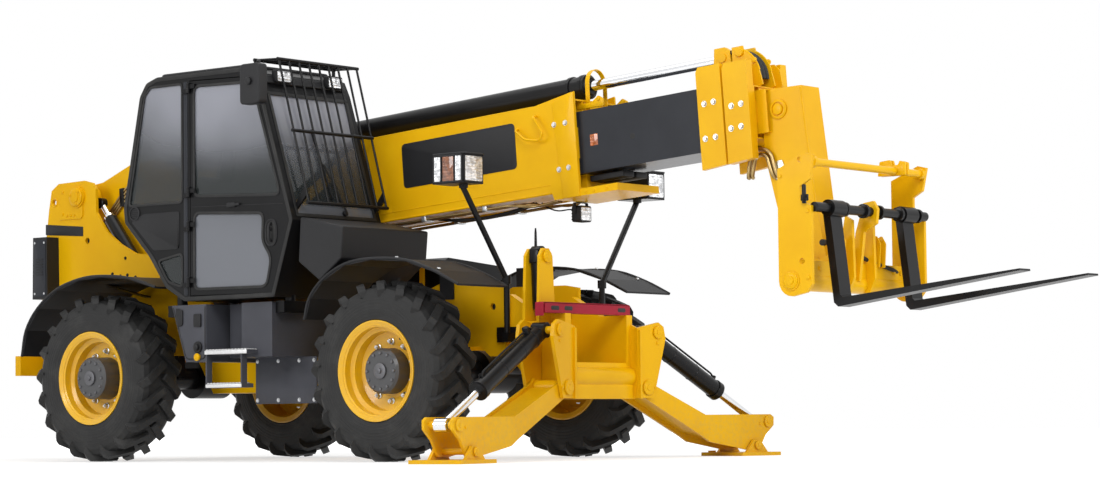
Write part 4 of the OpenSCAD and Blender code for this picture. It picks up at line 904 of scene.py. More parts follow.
def seal(outline, radius, width, height, overlap):
    return edging(roundedOutline(outline, radius), at(0, cabSide, 0), xWay, zWay,
                  sealSection(width, height, overlap))


def dressCabSide(v):
    seals = [seal(pane, 0.03, v["seal"], v["sealHeight"], 0.004) for pane in (quarterPane, lowPane)]
    rim = edging(roundedOutline(cabOutline, 0.02), at(0, cabSide, 0), xWay, zWay,
                 [(v["edge"], -0.004), (v["edge"], 0.003), (v["edge"] * 0.6, v["edgeHeight"]),
                  (0.006, v["edgeHeight"]), (0, 0.004), (0, -0.004)])
    addPiece("cab_seals", seals + [rim], "rubber")
    addPiece("door_seals", [seal(pane, 0.05, v["seal"] * 1.2, v["sealHeight"], 0.005)
                            for pane in (doorUpper, doorLower)], "rubber", "door")
    # Hinge pillar in lighter grey and the hinges' caps
    addPiece("hinge_pillar", [sidePlate(rect(0.946, 1.150, 0.984, 2.640, 0.01), cabSide, 0.004)], "slate")
    caps = [turned([(0, 0.0145), (0.004, 0.0145), (0.007, 0.010)], at(1.004, cabSide - 0.016, z), zWay, 20)
            for z in (1.272, 1.661, 1.897, 2.623)]
    addPiece("hinge_caps", caps, "plastic")
    # Air outlet with five blades in a round frame
    centre = at(0.448, cabSide, 1.747)
    frameRing = turned([(0, 0.052), (0.006, 0.052), (0.009, 0.047), (0.009, 0.041), (0.002, 0.040)], centre,
                       -yWay, 36)
    blades = [sidePlate(rect(0.448 - w, 1.747 + z - 0.0035, 0.448 + w, 1.747 + z + 0.0035, 0.002), cabSide,
                        0.007, 0.001) for z, w in ((-0.028, 0.027), (-0.014, 0.037), (0, 0.040),
                                                   (0.014, 0.037), (0.028, 0.027))]
    addPiece("cab_vent", [frameRing] + blades, "plastic")
    panel = roundedOutline([(0.412, 1.690), (0.640, 1.478), (0.880, 1.478), (0.900, 1.500), (0.900, 1.740),
                            (0.540, 1.740)], 0.02)
    addPiece("cab_side_panel", [sidePlate(panel, cabSide, 0.004)], "plastic")


def dressDoor():
    dish = edging(oval(1.790, 1.548, 0.058, 0.092), at(0, cabSide, 0), xWay, zWay,
                  [(0.014, 0), (0.012, 0.005), (0.004, 0.007), (0, 0.004), (0, 0)])
    back = sidePlate(oval(1.790, 1.548, 0.047, 0.080), cabSide, 0.0015, 0.0005)
    grip = tube(bentLine([at(1.790, cabSide + 0.002, 1.612), at(1.790, cabSide - 0.026, 1.600),
                          at(1.793, cabSide - 0.026, 1.500), at(1.793, cabSide + 0.002, 1.488)], 0.018),
                0.010, 12)
    button = turned([(0, 0.013), (0.010, 0.013), (0.012, 0.011)], at(1.790, cabSide, 1.572), -yWay, 20)
    addPiece("door_handle", [dish, grip, button], "plastic", "door")
    addPiece("door_handle_dish", [back], "rubber", "door")
    latch = [sidePlate(rect(1.375, 1.742, 1.455, 1.772, 0.008), cabSide, 0.014, 0.003),
             sidePlate(rect(1.440, 1.748, 1.500, 1.766, 0.008), cabSide - 0.006, 0.014, 0.003)]
    addPiece("door_latch", latch, "plastic", "door")
    seam = tube(np.array([at(x, cabSide + 0.001, 1.764 - 0.024 * (x - 1.02) / 0.86)
                          for x in np.linspace(1.030, 1.900, 6)]), 0.003, 8)
    bar = tube(bentLine([at(1.12, cabSide + 0.040, 1.40), at(1.12, cabSide + 0.085, 1.42),
                         at(1.12, cabSide + 0.085, 1.62), at(1.12, cabSide + 0.040, 1.64)], 0.02), 0.010, 10)
    addPiece("door_seam_and_bar", [seam, bar], "plastic", "door")


def dressRoof():
    top = flatPlate(roundedOutline([(0.665, -1.095), (1.545, -1.095), (1.545, -0.280), (0.665, -0.280)], 0.05,
                                   8), 2.690, 0.030, 0.014)
    ribs = [flatPlate(rect(0.76, y - 0.022, 1.46, y + 0.022, 0.015), 2.716, 0.010, 0.004)
            for y in (-0.92, -0.69, -0.46)]
    brow = slab(rect(-1.085, -0.030, -0.290, 0.030, 0.012), at(1.672, 0, 2.604), yWay,
                unit(np.array([-0.36, 0, 0.93])), 0.020, 0.006)
    addPiece("roof_cap", [top, brow] + ribs, "plastic", smooth=50)
    foot = turned([(0, 0.022), (0.006, 0.022), (0.012, 0.012), (0.036, 0.009), (0.040, 0.006)],
                  at(0.618, -0.70, 2.672), zWay, 20)
    whip = tube(np.array([at(0.618, -0.70, 2.700), at(0.612, -0.70, 2.726), at(0.605, -0.70, 2.751)]),
                np.array([0.004, 0.003, 0.002]), 8)
    addPiece("antenna", [foot, whip], "plastic")
    house, glasses = [], []
    for y in (-0.93, -0.42):
        house.append(slab(rect(y - 0.075, -0.045, y + 0.075, 0.045, 0.015), at(1.675, 0, 2.632), yWay, zWay,
                          0.050, 0.008))
        glasses.append(slab(rect(y - 0.065, -0.036, y + 0.065, 0.036, 0.012), at(1.7235, 0, 2.632), yWay,
                            zWay, 0.004))
    addPiece("roof_lamps", house, "plastic")
    addPiece("roof_lamp_lenses", glasses, "lens")


# Point on the windscreen: t runs up it, out is the distance in front of it
def onScreen(t, y, out=0.0):
    low, high = np.array([1.993, 1.626]), np.array([1.700, 2.546])
    way = unit(high - low)
    p = low + (high - low) * t + np.array([way[1], -way[0]]) * out
    return at(p[0], y, p[1])


def dressWindscreen():
    way = unit(onScreen(1, 0) - onScreen(0, 0))
    out = unit(onScreen(0, 0, 1) - onScreen(0, 0))
    pieces = [turned([(0, 0.020), (0.018, 0.020), (0.022, 0.014)], onScreen(0.07, -0.60), out, 20),
              band(np.array([onScreen(0.07, -0.60, 0.024), onScreen(0.25, -0.66, 0.030),
                             onScreen(0.43, -0.72, 0.024)]), yWay, 0.016, 0.006),
              band(np.array([onScreen(t, -0.72 - 0.10 * (t - 0.43), 0.010)
                             for t in (0.18, 0.30, 0.43, 0.56, 0.70)]), yWay, 0.010, 0.014)]
    addPiece("wiper", pieces, "plastic")
    strips = [(-1.086, 0.04, -1.062, 0.93), (-0.313, 0.04, -0.289, 0.93),
              (-1.086, 0.025, -0.289, 0.050), (-1.086, 0.912, -0.289, 0.937)]
    addPiece("screen_seals", [slab(rect(*s), onScreen(0, 0), yWay, way, 0.006) for s in strips], "rubber")
    # Pull-down blind behind the upper part of the screen
    blind = slab(rect(-1.05, 0.62, -0.33, 0.86, 0.01), onScreen(0, 0, -0.075), yWay, way, 0.006)
    addPiece("screen_blind", [blind], "plastic")


def dressMirror():
    low, high = np.array([1.715, 2.415]), np.array([1.880, 2.670])
    outline = rect(low[0] - 0.010, low[1] - 0.010, high[0] + 0.010, high[1] + 0.010, 0.032)
    shell = slab(outline, at(0, cabSide - 0.128, 0), xWay, zWay, 0.084, 0.011, 5)
    addPiece("mirror_shell", [shell], "plastic", smooth=50)
    glassPlate = slab(rect(cabSide - 0.188, 2.435, cabSide - 0.148, 2.650, 0.012), at(low[0] - 0.012, 0, 0),
                      yWay, zWay, 0.002)
    addPiece("mirror_glass", [glassPlate], "mirror")
    knob = turned([(0, 0.020), (0.010, 0.026), (0.024, 0.026), (0.030, 0.018)],
                  at(1.797, cabSide - 0.205, 2.560), -yWay, 24)
    loop = band(bentLine([at(1.700, cabSide + 0.004, 2.560), at(1.720, cabSide - 0.07, 2.575),
                          at(1.760, cabSide - 0.07, 2.715), at(1.700, cabSide - 0.03, 2.728),
                          at(1.650, cabSide + 0.004, 2.66)], 0.02), yWay, 0.012, 0.012)
    addPiece("mirror_mount", [knob, loop], "plastic")


def dressInterior():
    stick = [turned([(0, 0.045), (0.01, 0.048), (0.03, 0.036), (0.05, 0.020), (0.06, 0.012), (0.16, 0.010),
                     (0.17, 0.020), (0.24, 0.026), (0.27, 0.020), (0.28, 0.008)], at(1.300, -0.375, 1.560),
                    (0.1, 0, 1), 20)]
    console = slab(roundedOutline([(0.85, 1.25), (1.40, 1.25), (1.42, 1.50), (1.36, 1.56), (0.95, 1.56),
                                   (0.85, 1.50)], 0.03), at(0, -0.335, 0), xWay, zWay, 0.085, 0.01)
    pedals = [slab(rect(-0.55 - 0.12 * k - 0.03, -0.05, -0.55 - 0.12 * k + 0.03, 0.05, 0.01),
                   at(1.60, 0, 1.23), yWay, unit(np.array([0.5, 0, 0.85])), 0.012) for k in (0, 1, 2)]
    cluster = slab(rect(-0.80, -0.02, -0.56, 0.10, 0.03), at(1.730, 0, 1.655), yWay,
                   unit(np.array([-0.4, 0, 0.9])), 0.05, 0.01)
    stalk = tube(bentLine([at(1.61, -0.70, 1.69), at(1.60, -0.80, 1.72), at(1.58, -0.88, 1.74)], 0.02), 0.008,
                 8)
    addPiece("cab_controls", stick + [console, cluster, stalk] + pedals, "plastic")
    liner = flatPlate(rect(0.72, -1.08, 1.52, -0.30, 0.04), 2.628, 0.022, 0.008)
    mat = flatPlate(rect(1.02, -1.07, 1.72, -0.31, 0.04), 1.151, 0.008, 0.003)
    addPiece("cab_trim", [liner, mat], "rubber")


dressCabSide(cabValues)
dressDoor()
dressRoof()
dressWindscreen()
dressMirror()
dressInterior()
print("stage: cab")

# Seat: plastic shell, and two padded cushions of crowned form that are swelled as cloth

seatValues = {"cap": 0.024, "pressure": 4.0, "voxel": 0.006, "frames": 20}


# Crowned pad: a rounded outline whose rings follow the sine of the angle through its thickness
def padForm(outline, origin, across, upright, thickness, bulge=0.018):
    turn = np.linspace(0, np.pi, 9)
    insets, depths = bulge * (1 - np.sin(turn)), thickness * (1 - np.cos(turn)) / 2
    rings = np.stack([shrunk(outline, d) for d in insets])
    return (inSpace(rings, depths[:, None, None], origin, across, upright),
            gridFaces(len(insets), len(outline)))


def swell(piece, v):
    remesh = piece.modifiers.new("remesh", "REMESH")
    remesh.mode, remesh.voxel_size = "VOXEL", v["voxel"]
    bpy.context.view_layer.objects.active = piece
    piece.select_set(True)
    bpy.ops.object.modifier_apply(modifier="remesh")
    count = len(piece.data.vertices)
    start = np.empty(count * 3)
    piece.data.vertices.foreach_get("co", start)
    made = piece.modifiers.new("cloth", "CLOTH")
    made.settings.use_pressure = True
    made.settings.uniform_pressure_force = v["pressure"]
    made.settings.effector_weights.gravity = 0
    for frameNumber in range(1, v["frames"] + 1):
        bpy.context.scene.frame_set(frameNumber)
    bpy.ops.object.modifier_apply(modifier="cloth")
    bpy.context.scene.frame_set(1)
    ended = np.empty(count * 3)
    piece.data.vertices.foreach_get("co", ended)
    shift = (ended - start).reshape(-1, 3)
    length = np.linalg.norm(shift, axis=1, keepdims=True).clip(1e-9)
    piece.data.vertices.foreach_set("co", (start.reshape(-1, 3)
                                           + shift / length * length.clip(0, v["cap"])).ravel())
    piece.data.update()
    piece.select_set(False)


def makeSeat(v):
    tilt = unit(np.array([-0.125, 0, 0.99]))
    base = padForm(rect(0.895, -0.900, 1.225, -0.460, 0.06), at(0, 0, 1.305), xWay, yWay, 0.070)
    back = padForm(rect(-0.890, 0.05, -0.470, 0.58, 0.09), at(0.790, 0, 1.410), yWay, tilt, 0.070)
    head = padForm(rect(-0.790, 0.60, -0.570, 0.685, 0.035), at(0.790, 0, 1.330), yWay, tilt, 0.055)
    pads = []
    for name, patch in (("seat_cushion", base), ("seat_back_cushion", back), ("seat_head_rest", head)):
        piece = addPiece(name, [patch], "seat", smooth=60)
        swell(piece, v)
        piece.data.shade_smooth()
        pads.append(piece)
    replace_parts(pads[0], "seat")
    shell = slab(roundedOutline([(0.805, 1.252), (1.225, 1.252), (1.240, 1.318), (0.890, 1.325),
                                 (0.815, 1.98), (0.712, 1.99)], 0.015), at(0, -0.455, 0), xWay, zWay, 0.45,
                 0.02)
    slide = [flatPlate(rect(0.84, y - 0.02, 1.20, y + 0.02), 1.2495, 0.02) for y in (-0.80, -0.56)]
    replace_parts(addPiece("seat_shell", [shell] + slide, "plastic"), "seat")


makeSeat(seatValues)
print("stage: seat")

# Lamp clusters on the posts: lenses in black frames, and the rear lamps

lampValues = {"front": 3.460, "rearWall": 3.200, "low": 1.790, "high": 1.980, "inner": 0.880, "outer": 1.080}


def dressFrontLamps(side, v):
    name = "left" if side > 0 else "right"
    x0, x1, z0, z1, yi, yo = v["rearWall"], v["front"], v["low"], v["high"], v["inner"], v["outer"]
    placed = mirrored if side > 0 else list  # drawn for the right side, mirrored for the left
    section = [(0.014, 0), (0.012, 0.006), (0.003, 0.006), (0, 0.003), (0, 0)]
    frames = [edging(rect(x0 + 0.004, z0 + 0.004, x1 - 0.004, z1 - 0.004, 0.02), at(0, -yo, 0), xWay, zWay,
                     section),
              edging(rect(-yo + 0.004, z0 + 0.004, -yi - 0.004, z1 - 0.004, 0.02), at(x1, 0, 0), yWay, zWay,
                     section)]
    frames += [slab(rect(x, z0 + 0.01, x + 0.006, z1 - 0.01, 0.002), at(0, -yo, 0), xWay, zWay, 0.007)
               for x in (x0 + 0.074, x1 - 0.075)]
    hood = flatPlate(rect(x0 - 0.004, -yo - 0.004, x1 + 0.012, -yi + 0.004, 0.02), z1 - 0.004, 0.012, 0.005)
    addPiece("lamp_frames_" + name, placed(frames + [hood]), "plastic")
    bulbSide = [sidePlate(rect(x0 + 0.012, z0 + 0.014, x0 + 0.070, z1 - 0.014, 0.012), -yo, 0.005),
                sidePlate(rect(x1 - 0.066, z0 + 0.014, x1 - 0.012, z1 - 0.014, 0.012), -yo, 0.005)]
    face = [slab(rect(-yo + 0.014, z0 + 0.014, -yi - 0.014, z1 - 0.014, 0.016), at(x1, 0, 0), yWay, zWay,
                 0.006)]
    addPiece("lamp_lenses_" + name, placed(bulbSide + face), "lens")
    middle = sidePlate(rect(x0 + 0.086, z0 + 0.014, x1 - 0.080, z1 - 0.014, 0.008), -yo, 0.004)
    addPiece("lamp_indicators_" + name, placed([middle]), "amber")
    clamp = [turned([(0, 0.030), (0.05, 0.030)], at(3.334, -0.93, 1.770), (0.0, 0, 1), 20)]
    # The cable runs from the sleeve at the foot up along the back of the slanted post
    cable = tube(np.array([at(3.322 - 0.010 * t, -0.500 - 0.460 * t, 1.180 + 0.643 * t)
                           for t in np.linspace(0.03, 0.96, 8)]), 0.006, 8)
    addPiece("lamp_clamps_" + name, placed(clamp + [cable]), "plastic")


def dressRearLamps():
    lenses = {"stop": ("redLens", 1.575, 1.670), "turn": ("amber", 1.470, 1.565),
              "reverse": ("lens", 1.385, 1.460)}
    for use, (finish, z0, z1) in lenses.items():
        plate = frontPlate(rect(-0.505, z0, -0.415, z1, 0.012), -1.353, 0.006)
        addPiece("rear_" + use + "_lenses", bothSides([plate]), finish)
    # Side face of the box: a raised lighter panel with four screws and a vent
    panel = roundedOutline([(-1.335, 1.240), (-1.195, 1.240), (-1.203, 1.670), (-1.332, 1.670)], 0.012)
    addPiece("rear_box_panels", bothSides([sidePlate(panel, -0.520, 0.004)]), "slate")
    slots = [sidePlate(rect(-1.310, z, -1.225, z + 0.008, 0.003), -0.524, 0.004, 0.001)
             for z in np.arange(1.40, 1.52, 0.02)]
    screws = sideBolts([(x, z) for x in (-1.320, -1.215) for z in (1.262, 1.648)], -0.524, 0.012, 0.004)
    addPiece("rear_box_vents", bothSides(slots), "plastic")
    addPiece("rear_box_screws", bothSides(screws), "steel")


for lampSide in (1, -1):
    dressFrontLamps(lampSide, lampValues)
dressRearLamps()
print("stage: lamps")

# Rear of the chassis: blank plate, bolts, pivot pins, compensating ram and its pipes, bumper

rearValues = {"plate": -0.400, "pipe": 0.0085}


def dressRear(v):
    y = v["plate"]
    blank = roundedOutline([(-1.335, 1.716), (-0.912, 1.687), (-0.912, 1.760), (-1.335, 1.796)], 0.006)
    addPiece("blank_plate", [sidePlate(blank, y, 0.003, 0.001)], "plastic")
    heads = [turned([(0, 0.070), (0.010, 0.070), (0.014, 0.064), (0.014, 0.040), (0.020, 0.038)],
                    at(-0.974, y - 0.016, 1.986), -yWay, 40)]
    ringPlaces = [(-0.974 + 0.055 * math.cos(a), 1.986 + 0.055 * math.sin(a))
                  for a in np.radians([45, 165, 285])]
    heads += sideBolts(ringPlaces, y - 0.030, 0.016, 0.006)
    heads += sideBolts([(-1.085, 1.850), (-1.045, 1.850), (-1.005, 1.850), (-1.135, 1.865), (-1.135, 2.03),
                        (-0.935, 2.03)], y - 0.008, 0.018, 0.007)
    eye = edging(oval(-1.235, 1.960, 0.030, 0.030), at(0, y, 0), xWay, zWay,
                 [(0.008, 0), (0.006, 0.005), (0, 0.006), (-0.003, 0.003), (-0.003, 0)])
    addPiece("pivot_heads", bothSides(heads + [eye]), "yellow")
    bolts = sideBolts([(-0.588, 1.388), (-0.500, 1.369), (-0.424, 1.374), (-0.337, 1.355), (-0.069, 1.330),
                       (-0.446, 1.501)], y, 0.018, 0.007)
    addPiece("rear_plate_bolts", bothSides(bolts), "black")
    seam = [at(x, y - 0.002, z) for x, z in ((-1.366, 1.40), (-1.366, 1.0), (-1.288, 0.702))]
    addPiece("rear_seams", bothSides([tube(bentLine(seam, 0.05), 0.006, 8)]), "yellow")
    # Dark discs behind the lightening holes of the rear plates and rails: painted shade of the holes' dark
    # insides
    shadeDiscs = [turned([(0, 0.030), (0.004, 0.030)], at(x, y + 0.026, z), yWay, 24)
             for x, z in ((-0.865, 1.651), (wheelBase + 0.377, 1.020))]
    addPiece("hole_covers", bothSides(shadeDiscs), "rubber")


# Compensating ram between the cab-side plate and the boom, and the hard pipes that turn with the boom
def dressCompensator(v):
    low, high = at(-0.360, -0.315, 1.395), at(-0.800, -0.315, 1.935)
    along = unit(high - low)
    length = float(np.linalg.norm(high - low))
    barrel = turned([(0.05, 0.030), (0.06, 0.048), (0.07, 0.050), (length - 0.165, 0.050),
                     (length - 0.160, 0.047), (length - 0.155, 0.036), (length - 0.135, 0.034)], low, along,
                    36)
    eyes = [turned([(-0.028, 0.034), (-0.024, 0.040), (0.024, 0.040), (0.028, 0.034)], place, yWay, 28)
            for place in (low, high)]
    pins = [turned([(0, 0.020), (0.044, 0.020)], place + 0.014 * yWay, -yWay, 20) for place in (low, high)]
    addPiece("compensating_ram", [barrel] + eyes + pins, "black")
    rod = turned([(length - 0.140, 0.022), (length - 0.030, 0.022)], low, along, 24)
    ring = turned([(length - 0.150, 0.034), (length - 0.146, 0.039), (length - 0.128, 0.039),
                   (length - 0.124, 0.034)], low, along, 28)
    addPiece("compensating_rod", [rod, ring], "chrome")
    line = np.array([(-0.905, 1.700), (-0.830, 1.785), (-0.766, 1.850), (-0.655, 1.960), (-0.567, 2.030),
                     (-0.440, 2.090)])
    way = unit(line[-1] - line[0])
    pipes = [tube(smoothLine([at(x - way[1] * d, -0.241, z + way[0] * d) for x, z in line], 4), v["pipe"], 10)
             for d in (-0.033, -0.011, 0.011, 0.033)]
    clamp = boomPlate(rect(0.30, -0.105, 0.345, 0.035, 0.008), -0.232, 0.020)
    addPiece("compensating_pipes", pipes, "brass", "boom")
    addPiece("pipe_clamp", [clamp], "black", "boom")


def dressBumper():
    bolts = boltRow([at(-1.430, y, 0.745) for y in (-0.56, -0.30, 0.30, 0.56)], -xWay, 0.022, 0.009)
    addPiece("bumper_bolts", bolts, "steel")
    grille = [frontPlate(rect(-0.32, z, 0.32, z + 0.022), -1.3755, 0.004)
              for z in np.arange(0.98, 1.28, 0.045)]
    addPiece("rear_grille", grille, "black")


dressRear(rearValues)
dressCompensator(rearValues)
dressBumper()
print("stage: rear")

# Fenders: rolled lips, bolts and the bracket of the rear one

fenderValues = {"lip": 0.010, "bolt": 0.020}
rearEdge = [(-0.735, 0.770), (-0.690, 0.960), (-0.560, 1.120), (-0.360, 1.245), (-0.120, 1.310),
            (0.110, 1.325), (0.400, 1.300), (0.675, 1.225)]
frontEdge = [(-0.655, 0.955), (-0.610, 1.095), (-0.490, 1.215), (-0.290, 1.310), (-0.050, 1.337),
             (0.250, 1.315), (0.500, 1.235), (0.705, 1.140)]


def dressFenders(v):
    rear = tube(smoothLine([at(x, -1.150, z - 0.004) for x, z in rearEdge], 4), v["lip"], 10)
    front = tube(smoothLine([at(x + wheelBase, -1.130, z - 0.004) for x, z in frontEdge], 4), v["lip"], 10)
    inner = tube(smoothLine([at(x + wheelBase, -0.640, z - 0.004) for x, z in frontEdge], 4), v["lip"] * 0.8,
                 8)
    addPiece("fender_lips", bothSides([rear, front, inner]), "plastic")
    places = [(2.360, -1.06, 1.311), (2.864, -1.06, 1.333), (3.229, -1.06, 1.246),
              (-0.36, -0.52, 1.247), (-0.05, -0.52, 1.318), (0.30, -0.52, 1.310)]
    heads = boltRow([at(*p) for p in places], zWay, v["bolt"], 0.009)
    addPiece("fender_bolts", bothSides(heads), "steel")
    stays = [band(bentLine([at(x, -0.395, 1.200), at(x, -0.62, 1.240), at(x, -0.86, top)], 0.04), xWay, 0.060,
                  0.008) for x, top in ((-0.20, 1.285), (0.30, 1.292))]
    addPiece("fender_stays", bothSides(stays), "black")


dressFenders(fenderValues)

# Under the cab: toothed treads, tank, latch, bolts, guard; drive line between the axles

stepValues = {"teeth": 13, "toothHeight": 0.009}


# Serrated strip: a row of small peaks along X, each a ridge of triangular section with blunt ends
def serrated(x0, x1, y0, y1, z, count, height):
    edges = np.linspace(x0, x1, 2 * count + 1)
    tops = np.where(np.arange(2 * count + 1) % 2, height, 0.002)
    upper = np.stack([edges, z + tops], -1)
    outline = np.concatenate([[(x0, z - 0.001), (x1, z - 0.001)], upper[::-1]])
    return slab(outline, at(0, y1, 0), xWay, zWay, y1 - y0, 0.0005, 2)


def dressSteps(v):
    strips = []
    for x0, x1, yLow, yHigh, top, count in ((1.200, 1.600, -1.178, -0.935, 0.763, v["teeth"]),
                                            (1.210, 1.550, -1.178, -1.075, 0.534, v["teeth"] - 2)):
        rows = np.arange(yLow, yHigh - 0.012, 0.024)
        strips += [serrated(x0, x1, y, y + 0.010, top, count, v["toothHeight"]) for y in rows]
    addPiece("step_teeth", strips, "alu")
    edges = [sidePlate(rect(*box), -1.179, 0.005) for box in ((1.197, 0.736, 1.603, 0.762),
                                                              (1.207, 0.508, 1.553, 0.532))]
    rings = [edging(oval(x, 0.749, 0.016, 0.008), at(0, -1.1835, 0), xWay, zWay,
                    [(0.003, 0), (0.002, 0.002), (-0.001, 0.002), (-0.002, 0)])
             for x in np.linspace(1.24, 1.56, 7)]
    addPiece("step_edges", edges + rings, "alu")
    cap = [turned([(0, 0.040), (0.012, 0.040), (0.016, 0.036), (0.016, 0.024), (0.030, 0.022),
                   (0.034, 0.016)], at(1.083, -1.130, 0.790), -yWay, 28)]
    addPiece("tank_drain", cap, "plastic")
    addPiece("tank_tap", [turned([(0, 0.022), (0.010, 0.026), (0.020, 0.026), (0.026, 0.018)],
                                 at(1.083, -1.130, 0.722), -yWay, 24)], "yellow")
    bracket = [sidePlate(roundedOutline([(0.868, 0.955), (0.905, 0.935), (0.935, 0.950), (0.935, 1.050),
                                         (0.868, 1.065)], 0.01), -1.130, 0.010),
               sidePlate(rect(1.045, 0.930, 1.115, 1.020, 0.012), -1.130, 0.012)]
    addPiece("tank_latch", bracket, "plastic")
    seam = tube(bentLine([at(0.835, -1.131, 1.070), at(0.965, -1.131, 0.710), at(1.150, -1.131, 0.710),
                          at(1.150, -1.131, 1.070)], 0.03), 0.004, 8)
    addPiece("tank_seam", [seam], "rubber")
    bolts = sideBolts([(x, z) for x in (1.300, 1.500, 1.700, 1.840) for z in (0.420, 0.690)], -0.772, 0.020,
                      0.008)
    addPiece("step_bolts", bolts, "steel")


def dressDriveLine():
    middle = 0.595
    profile = [(0, 0.062), (0.020, 0.062), (0.024, 0.040), (0.080, 0.038), (0.090, 0.034), (0.62, 0.034),
               (0.63, 0.050), (0.66, 0.050)]
    shafts = [turned(profile, at(x, 0, middle), way, 28)
              for x, way in ((0.145, xWay), (wheelBase - 0.145, -xWay))]
    box = slab(roundedOutline([(0.80, 0.50), (1.95, 0.50), (1.95, 0.74), (1.80, 0.78), (0.95, 0.78),
                               (0.80, 0.72)], 0.04), at(0, 0.16, 0), xWay, zWay, 0.32, 0.02)
    addPiece("drive_shafts", shafts, "iron")
    addPiece("transfer_box", [box], "iron")
    rams = []
    for x, s in ((0.0, -1), (wheelBase, 1)):
        rams.append(turned([(0, 0.030), (0.004, 0.038), (0.296, 0.038), (0.300, 0.030)],
                           at(x + s * 0.190, -0.150, middle + 0.02), yWay, 24))
        rams += [slab(rect(-0.05, -0.03, 0.05, 0.03, 0.01), at(x + s * 0.165, yy, middle + 0.02), yWay, zWay,
                      0.03) for yy in (-0.1, 0.1)]
    addPiece("steering_rams", rams, "black")


dressSteps(stepValues)
dressDriveLine()
print("stage: fenders, steps and drive line")

# Engine side, which the photograph does not show: louvre frames and blades, seam and bolts of the pod

engineValues = {"wall": 1.140, "louvres": 8, "louvreStep": 0.12}


def dressEngine(v):
    wall = v["wall"]
    louvres, step = range(v["louvres"]), v["louvreStep"]
    frames = [edging(rect(0.917 + step * i, 0.707, 0.983 + step * i, 1.053, 0.006), at(0, -wall, 0), xWay,
                     zWay, [(0.006, 0), (0.004, 0.004), (-0.006, 0.004), (-0.008, 0)]) for i in louvres]
    ribs = [slab(rect(0.918 + step * i, z, 0.982 + step * i, z + 0.004, 0.001), at(0, -wall + 0.028, 0), xWay,
                 zWay, 0.022, 0.001, 2) for i in louvres for z in np.arange(0.725, 1.045, 0.03)]
    addPiece("pod_louvres", mirrored(frames + ribs), "plastic")
    panel = tube(bentLine([at(0.80, -wall - 0.001, 1.170), at(0.80, -wall - 0.001, 0.600),
                           at(1.95, -wall - 0.001, 0.600), at(1.95, -wall - 0.001, 1.170)], 0.04), 0.004, 8)
    heads = sideBolts([(x, z) for x in (0.83, 1.37, 1.92) for z in (0.630, 1.150)], -wall, 0.020, 0.008)
    addPiece("pod_seam", mirrored([panel]), "rubber")
    addPiece("pod_bolts", mirrored(heads), "steel")


dressEngine(engineValues)

# Cowl between the cab and the front fender: the CAD solid's own faces, joined, with wide rounded edges

cowlValues = {"radius": 0.045, "segments": 4}


def makeCowl(v):
    shape = bmesh.new()
    shape.from_mesh(frame["nodes"]["fairing"].data)
    bmesh.ops.remove_doubles(shape, verts=shape.verts, dist=1e-5)
    bmesh.ops.dissolve_limit(shape, angle_limit=math.radians(1), verts=shape.verts, edges=shape.edges)
    mesh = bpy.data.meshes.new("cowl")
    shape.to_mesh(mesh)
    shape.free()
    mesh.materials.clear()
    mesh.materials.append(finishes["plastic"])
    cowl = bpy.data.objects.new("cowl", mesh)
    bpy.context.collection.objects.link(cowl)
    mesh.shade_smooth()
    mesh.set_sharp_from_angle(angle=math.radians(40))
    bevel = cowl.modifiers.new("rounded", "BEVEL")
    bevel.width, bevel.segments = v["radius"], v["segments"]
    bevel.limit_method, bevel.angle_limit = "ANGLE", math.radians(25)
    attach(cowl, "machine")
    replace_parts(cowl, "fairing")


makeCowl(cowlValues)
print("stage: cowl")

# Floor, background and lamps

stageValues = {"floorSize": 60.0, "floorColour": (0.86, 0.86, 0.86), "floorGlow": 0.38, "worldStrength": 0.40,
               "key": 600.0, "side": 330.0, "rim": 260.0, "top": 300.0}


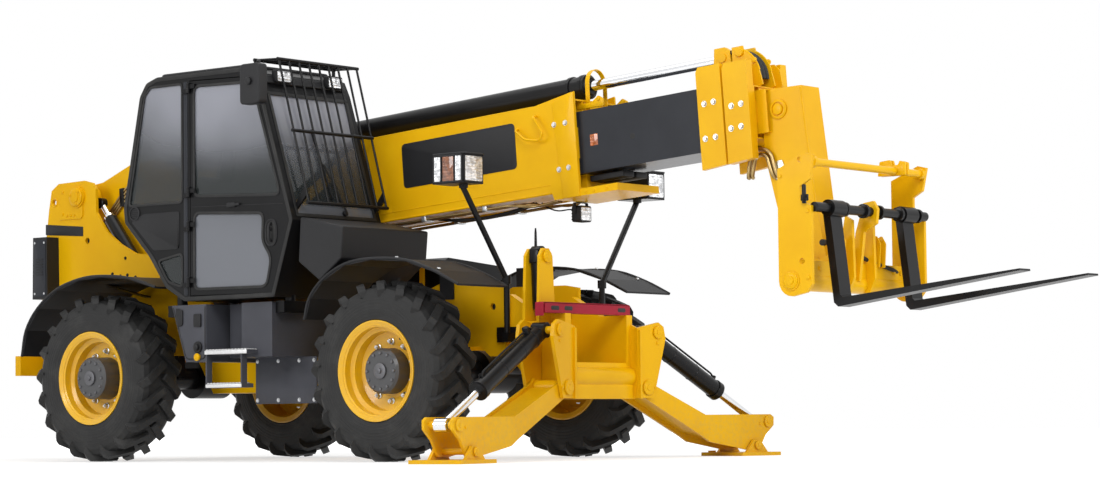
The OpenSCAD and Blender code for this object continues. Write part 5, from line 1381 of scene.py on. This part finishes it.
def makeFloor(v):
    half = v["floorSize"] / 2
    mesh = bpy.data.meshes.new("floor")
    mesh.from_pydata([(-half, -half, 0), (half, -half, 0), (half, half, 0), (-half, half, 0)], [],
                     [(0, 1, 2, 3)])
    floor = bpy.data.objects.new("floor", mesh)
    bpy.context.collection.objects.link(floor)
    s = Shader("floorPale", Base_Color=v["floorColour"], Roughness=0.9, Specular_IOR_Level=0.1)
    light = s.node("ShaderNodeEmission", {}, {"Color": (1, 1, 1), "Strength": 1.6})
    x, y, z = s.axes()
    far = ((x * x + y * y) ** 0.5).ramp(4.5, 12.0)
    camera, glossy, through = (s.node("ShaderNodeLightPath", output=k)
                               for k in ("Is Camera Ray", "Is Glossy Ray", "Is Transmission Ray"))
    seen = camera.maths("MAXIMUM", camera, glossy.maths("MAXIMUM", glossy, through))
    blend = s.node("ShaderNodeMixShader", {}, {0: seen * (far * (1 - v["floorGlow"]) + v["floorGlow"]),
                                               2: light})
    s.tree.links.new(s.surface.outputs[0], blend.socket.node.inputs[1])
    s.tree.links.new(blend.socket, s.tree.nodes["Material Output"].inputs[0])
    mesh.materials.append(s.material)


# The world lights softly, and is white to the camera and in glass and metal
def makeWorld(v):
    world = bpy.data.worlds.new("studio")
    world.use_nodes = True
    bpy.context.scene.world = world
    tree = world.node_tree
    path, blend, white = (tree.nodes.new("ShaderNode" + k) for k in ("LightPath", "MixShader", "Background"))
    ground = tree.nodes["Background"]
    for node, strength in ((ground, v["worldStrength"]), (white, 1.0)):
        node.inputs[0].default_value = (1, 1, 1, 1)
        node.inputs[1].default_value = strength
    most = path.outputs["Is Camera Ray"]
    for kind in ("Is Glossy Ray", "Is Transmission Ray"):
        top = tree.nodes.new("ShaderNodeMath")
        top.operation = "MAXIMUM"
        tree.links.new(most, top.inputs[0])
        tree.links.new(path.outputs[kind], top.inputs[1])
        most = top.outputs[0]
    tree.links.new(most, blend.inputs[0])
    tree.links.new(ground.outputs[0], blend.inputs[1])
    tree.links.new(white.outputs[0], blend.inputs[2])
    tree.links.new(blend.outputs[0], tree.nodes["World Output"].inputs[0])


def makeLamp(name, place, target, size, power):
    data = bpy.data.lights.new(name, "AREA")
    data.size, data.energy = size, power
    lamp = bpy.data.objects.new(name, data)
    lamp.location = place
    lamp.rotation_euler = (Vector(target) - Vector(place)).to_track_quat("-Z", "Y").to_euler()
    bpy.context.collection.objects.link(lamp)


makeFloor(stageValues)
makeWorld(stageValues)
makeLamp("key", (8.0, -8.0, 8.0), (0, 0, 1.0), 5.0, stageValues["key"])
makeLamp("side", (-3.0, -11.0, 4.5), (-1.8, 0, 1.2), 3.5, stageValues["side"])
makeLamp("rim", (9.0, 3.0, 4.0), (2.0, 0, 1.2), 4.0, stageValues["rim"])
makeLamp("top", (-1.0, -1.0, 9.0), (-0.5, 0, 0), 7.0, stageValues["top"])
bpy.context.scene.view_settings.view_transform = "Standard"
print("stage: floor and lamps")
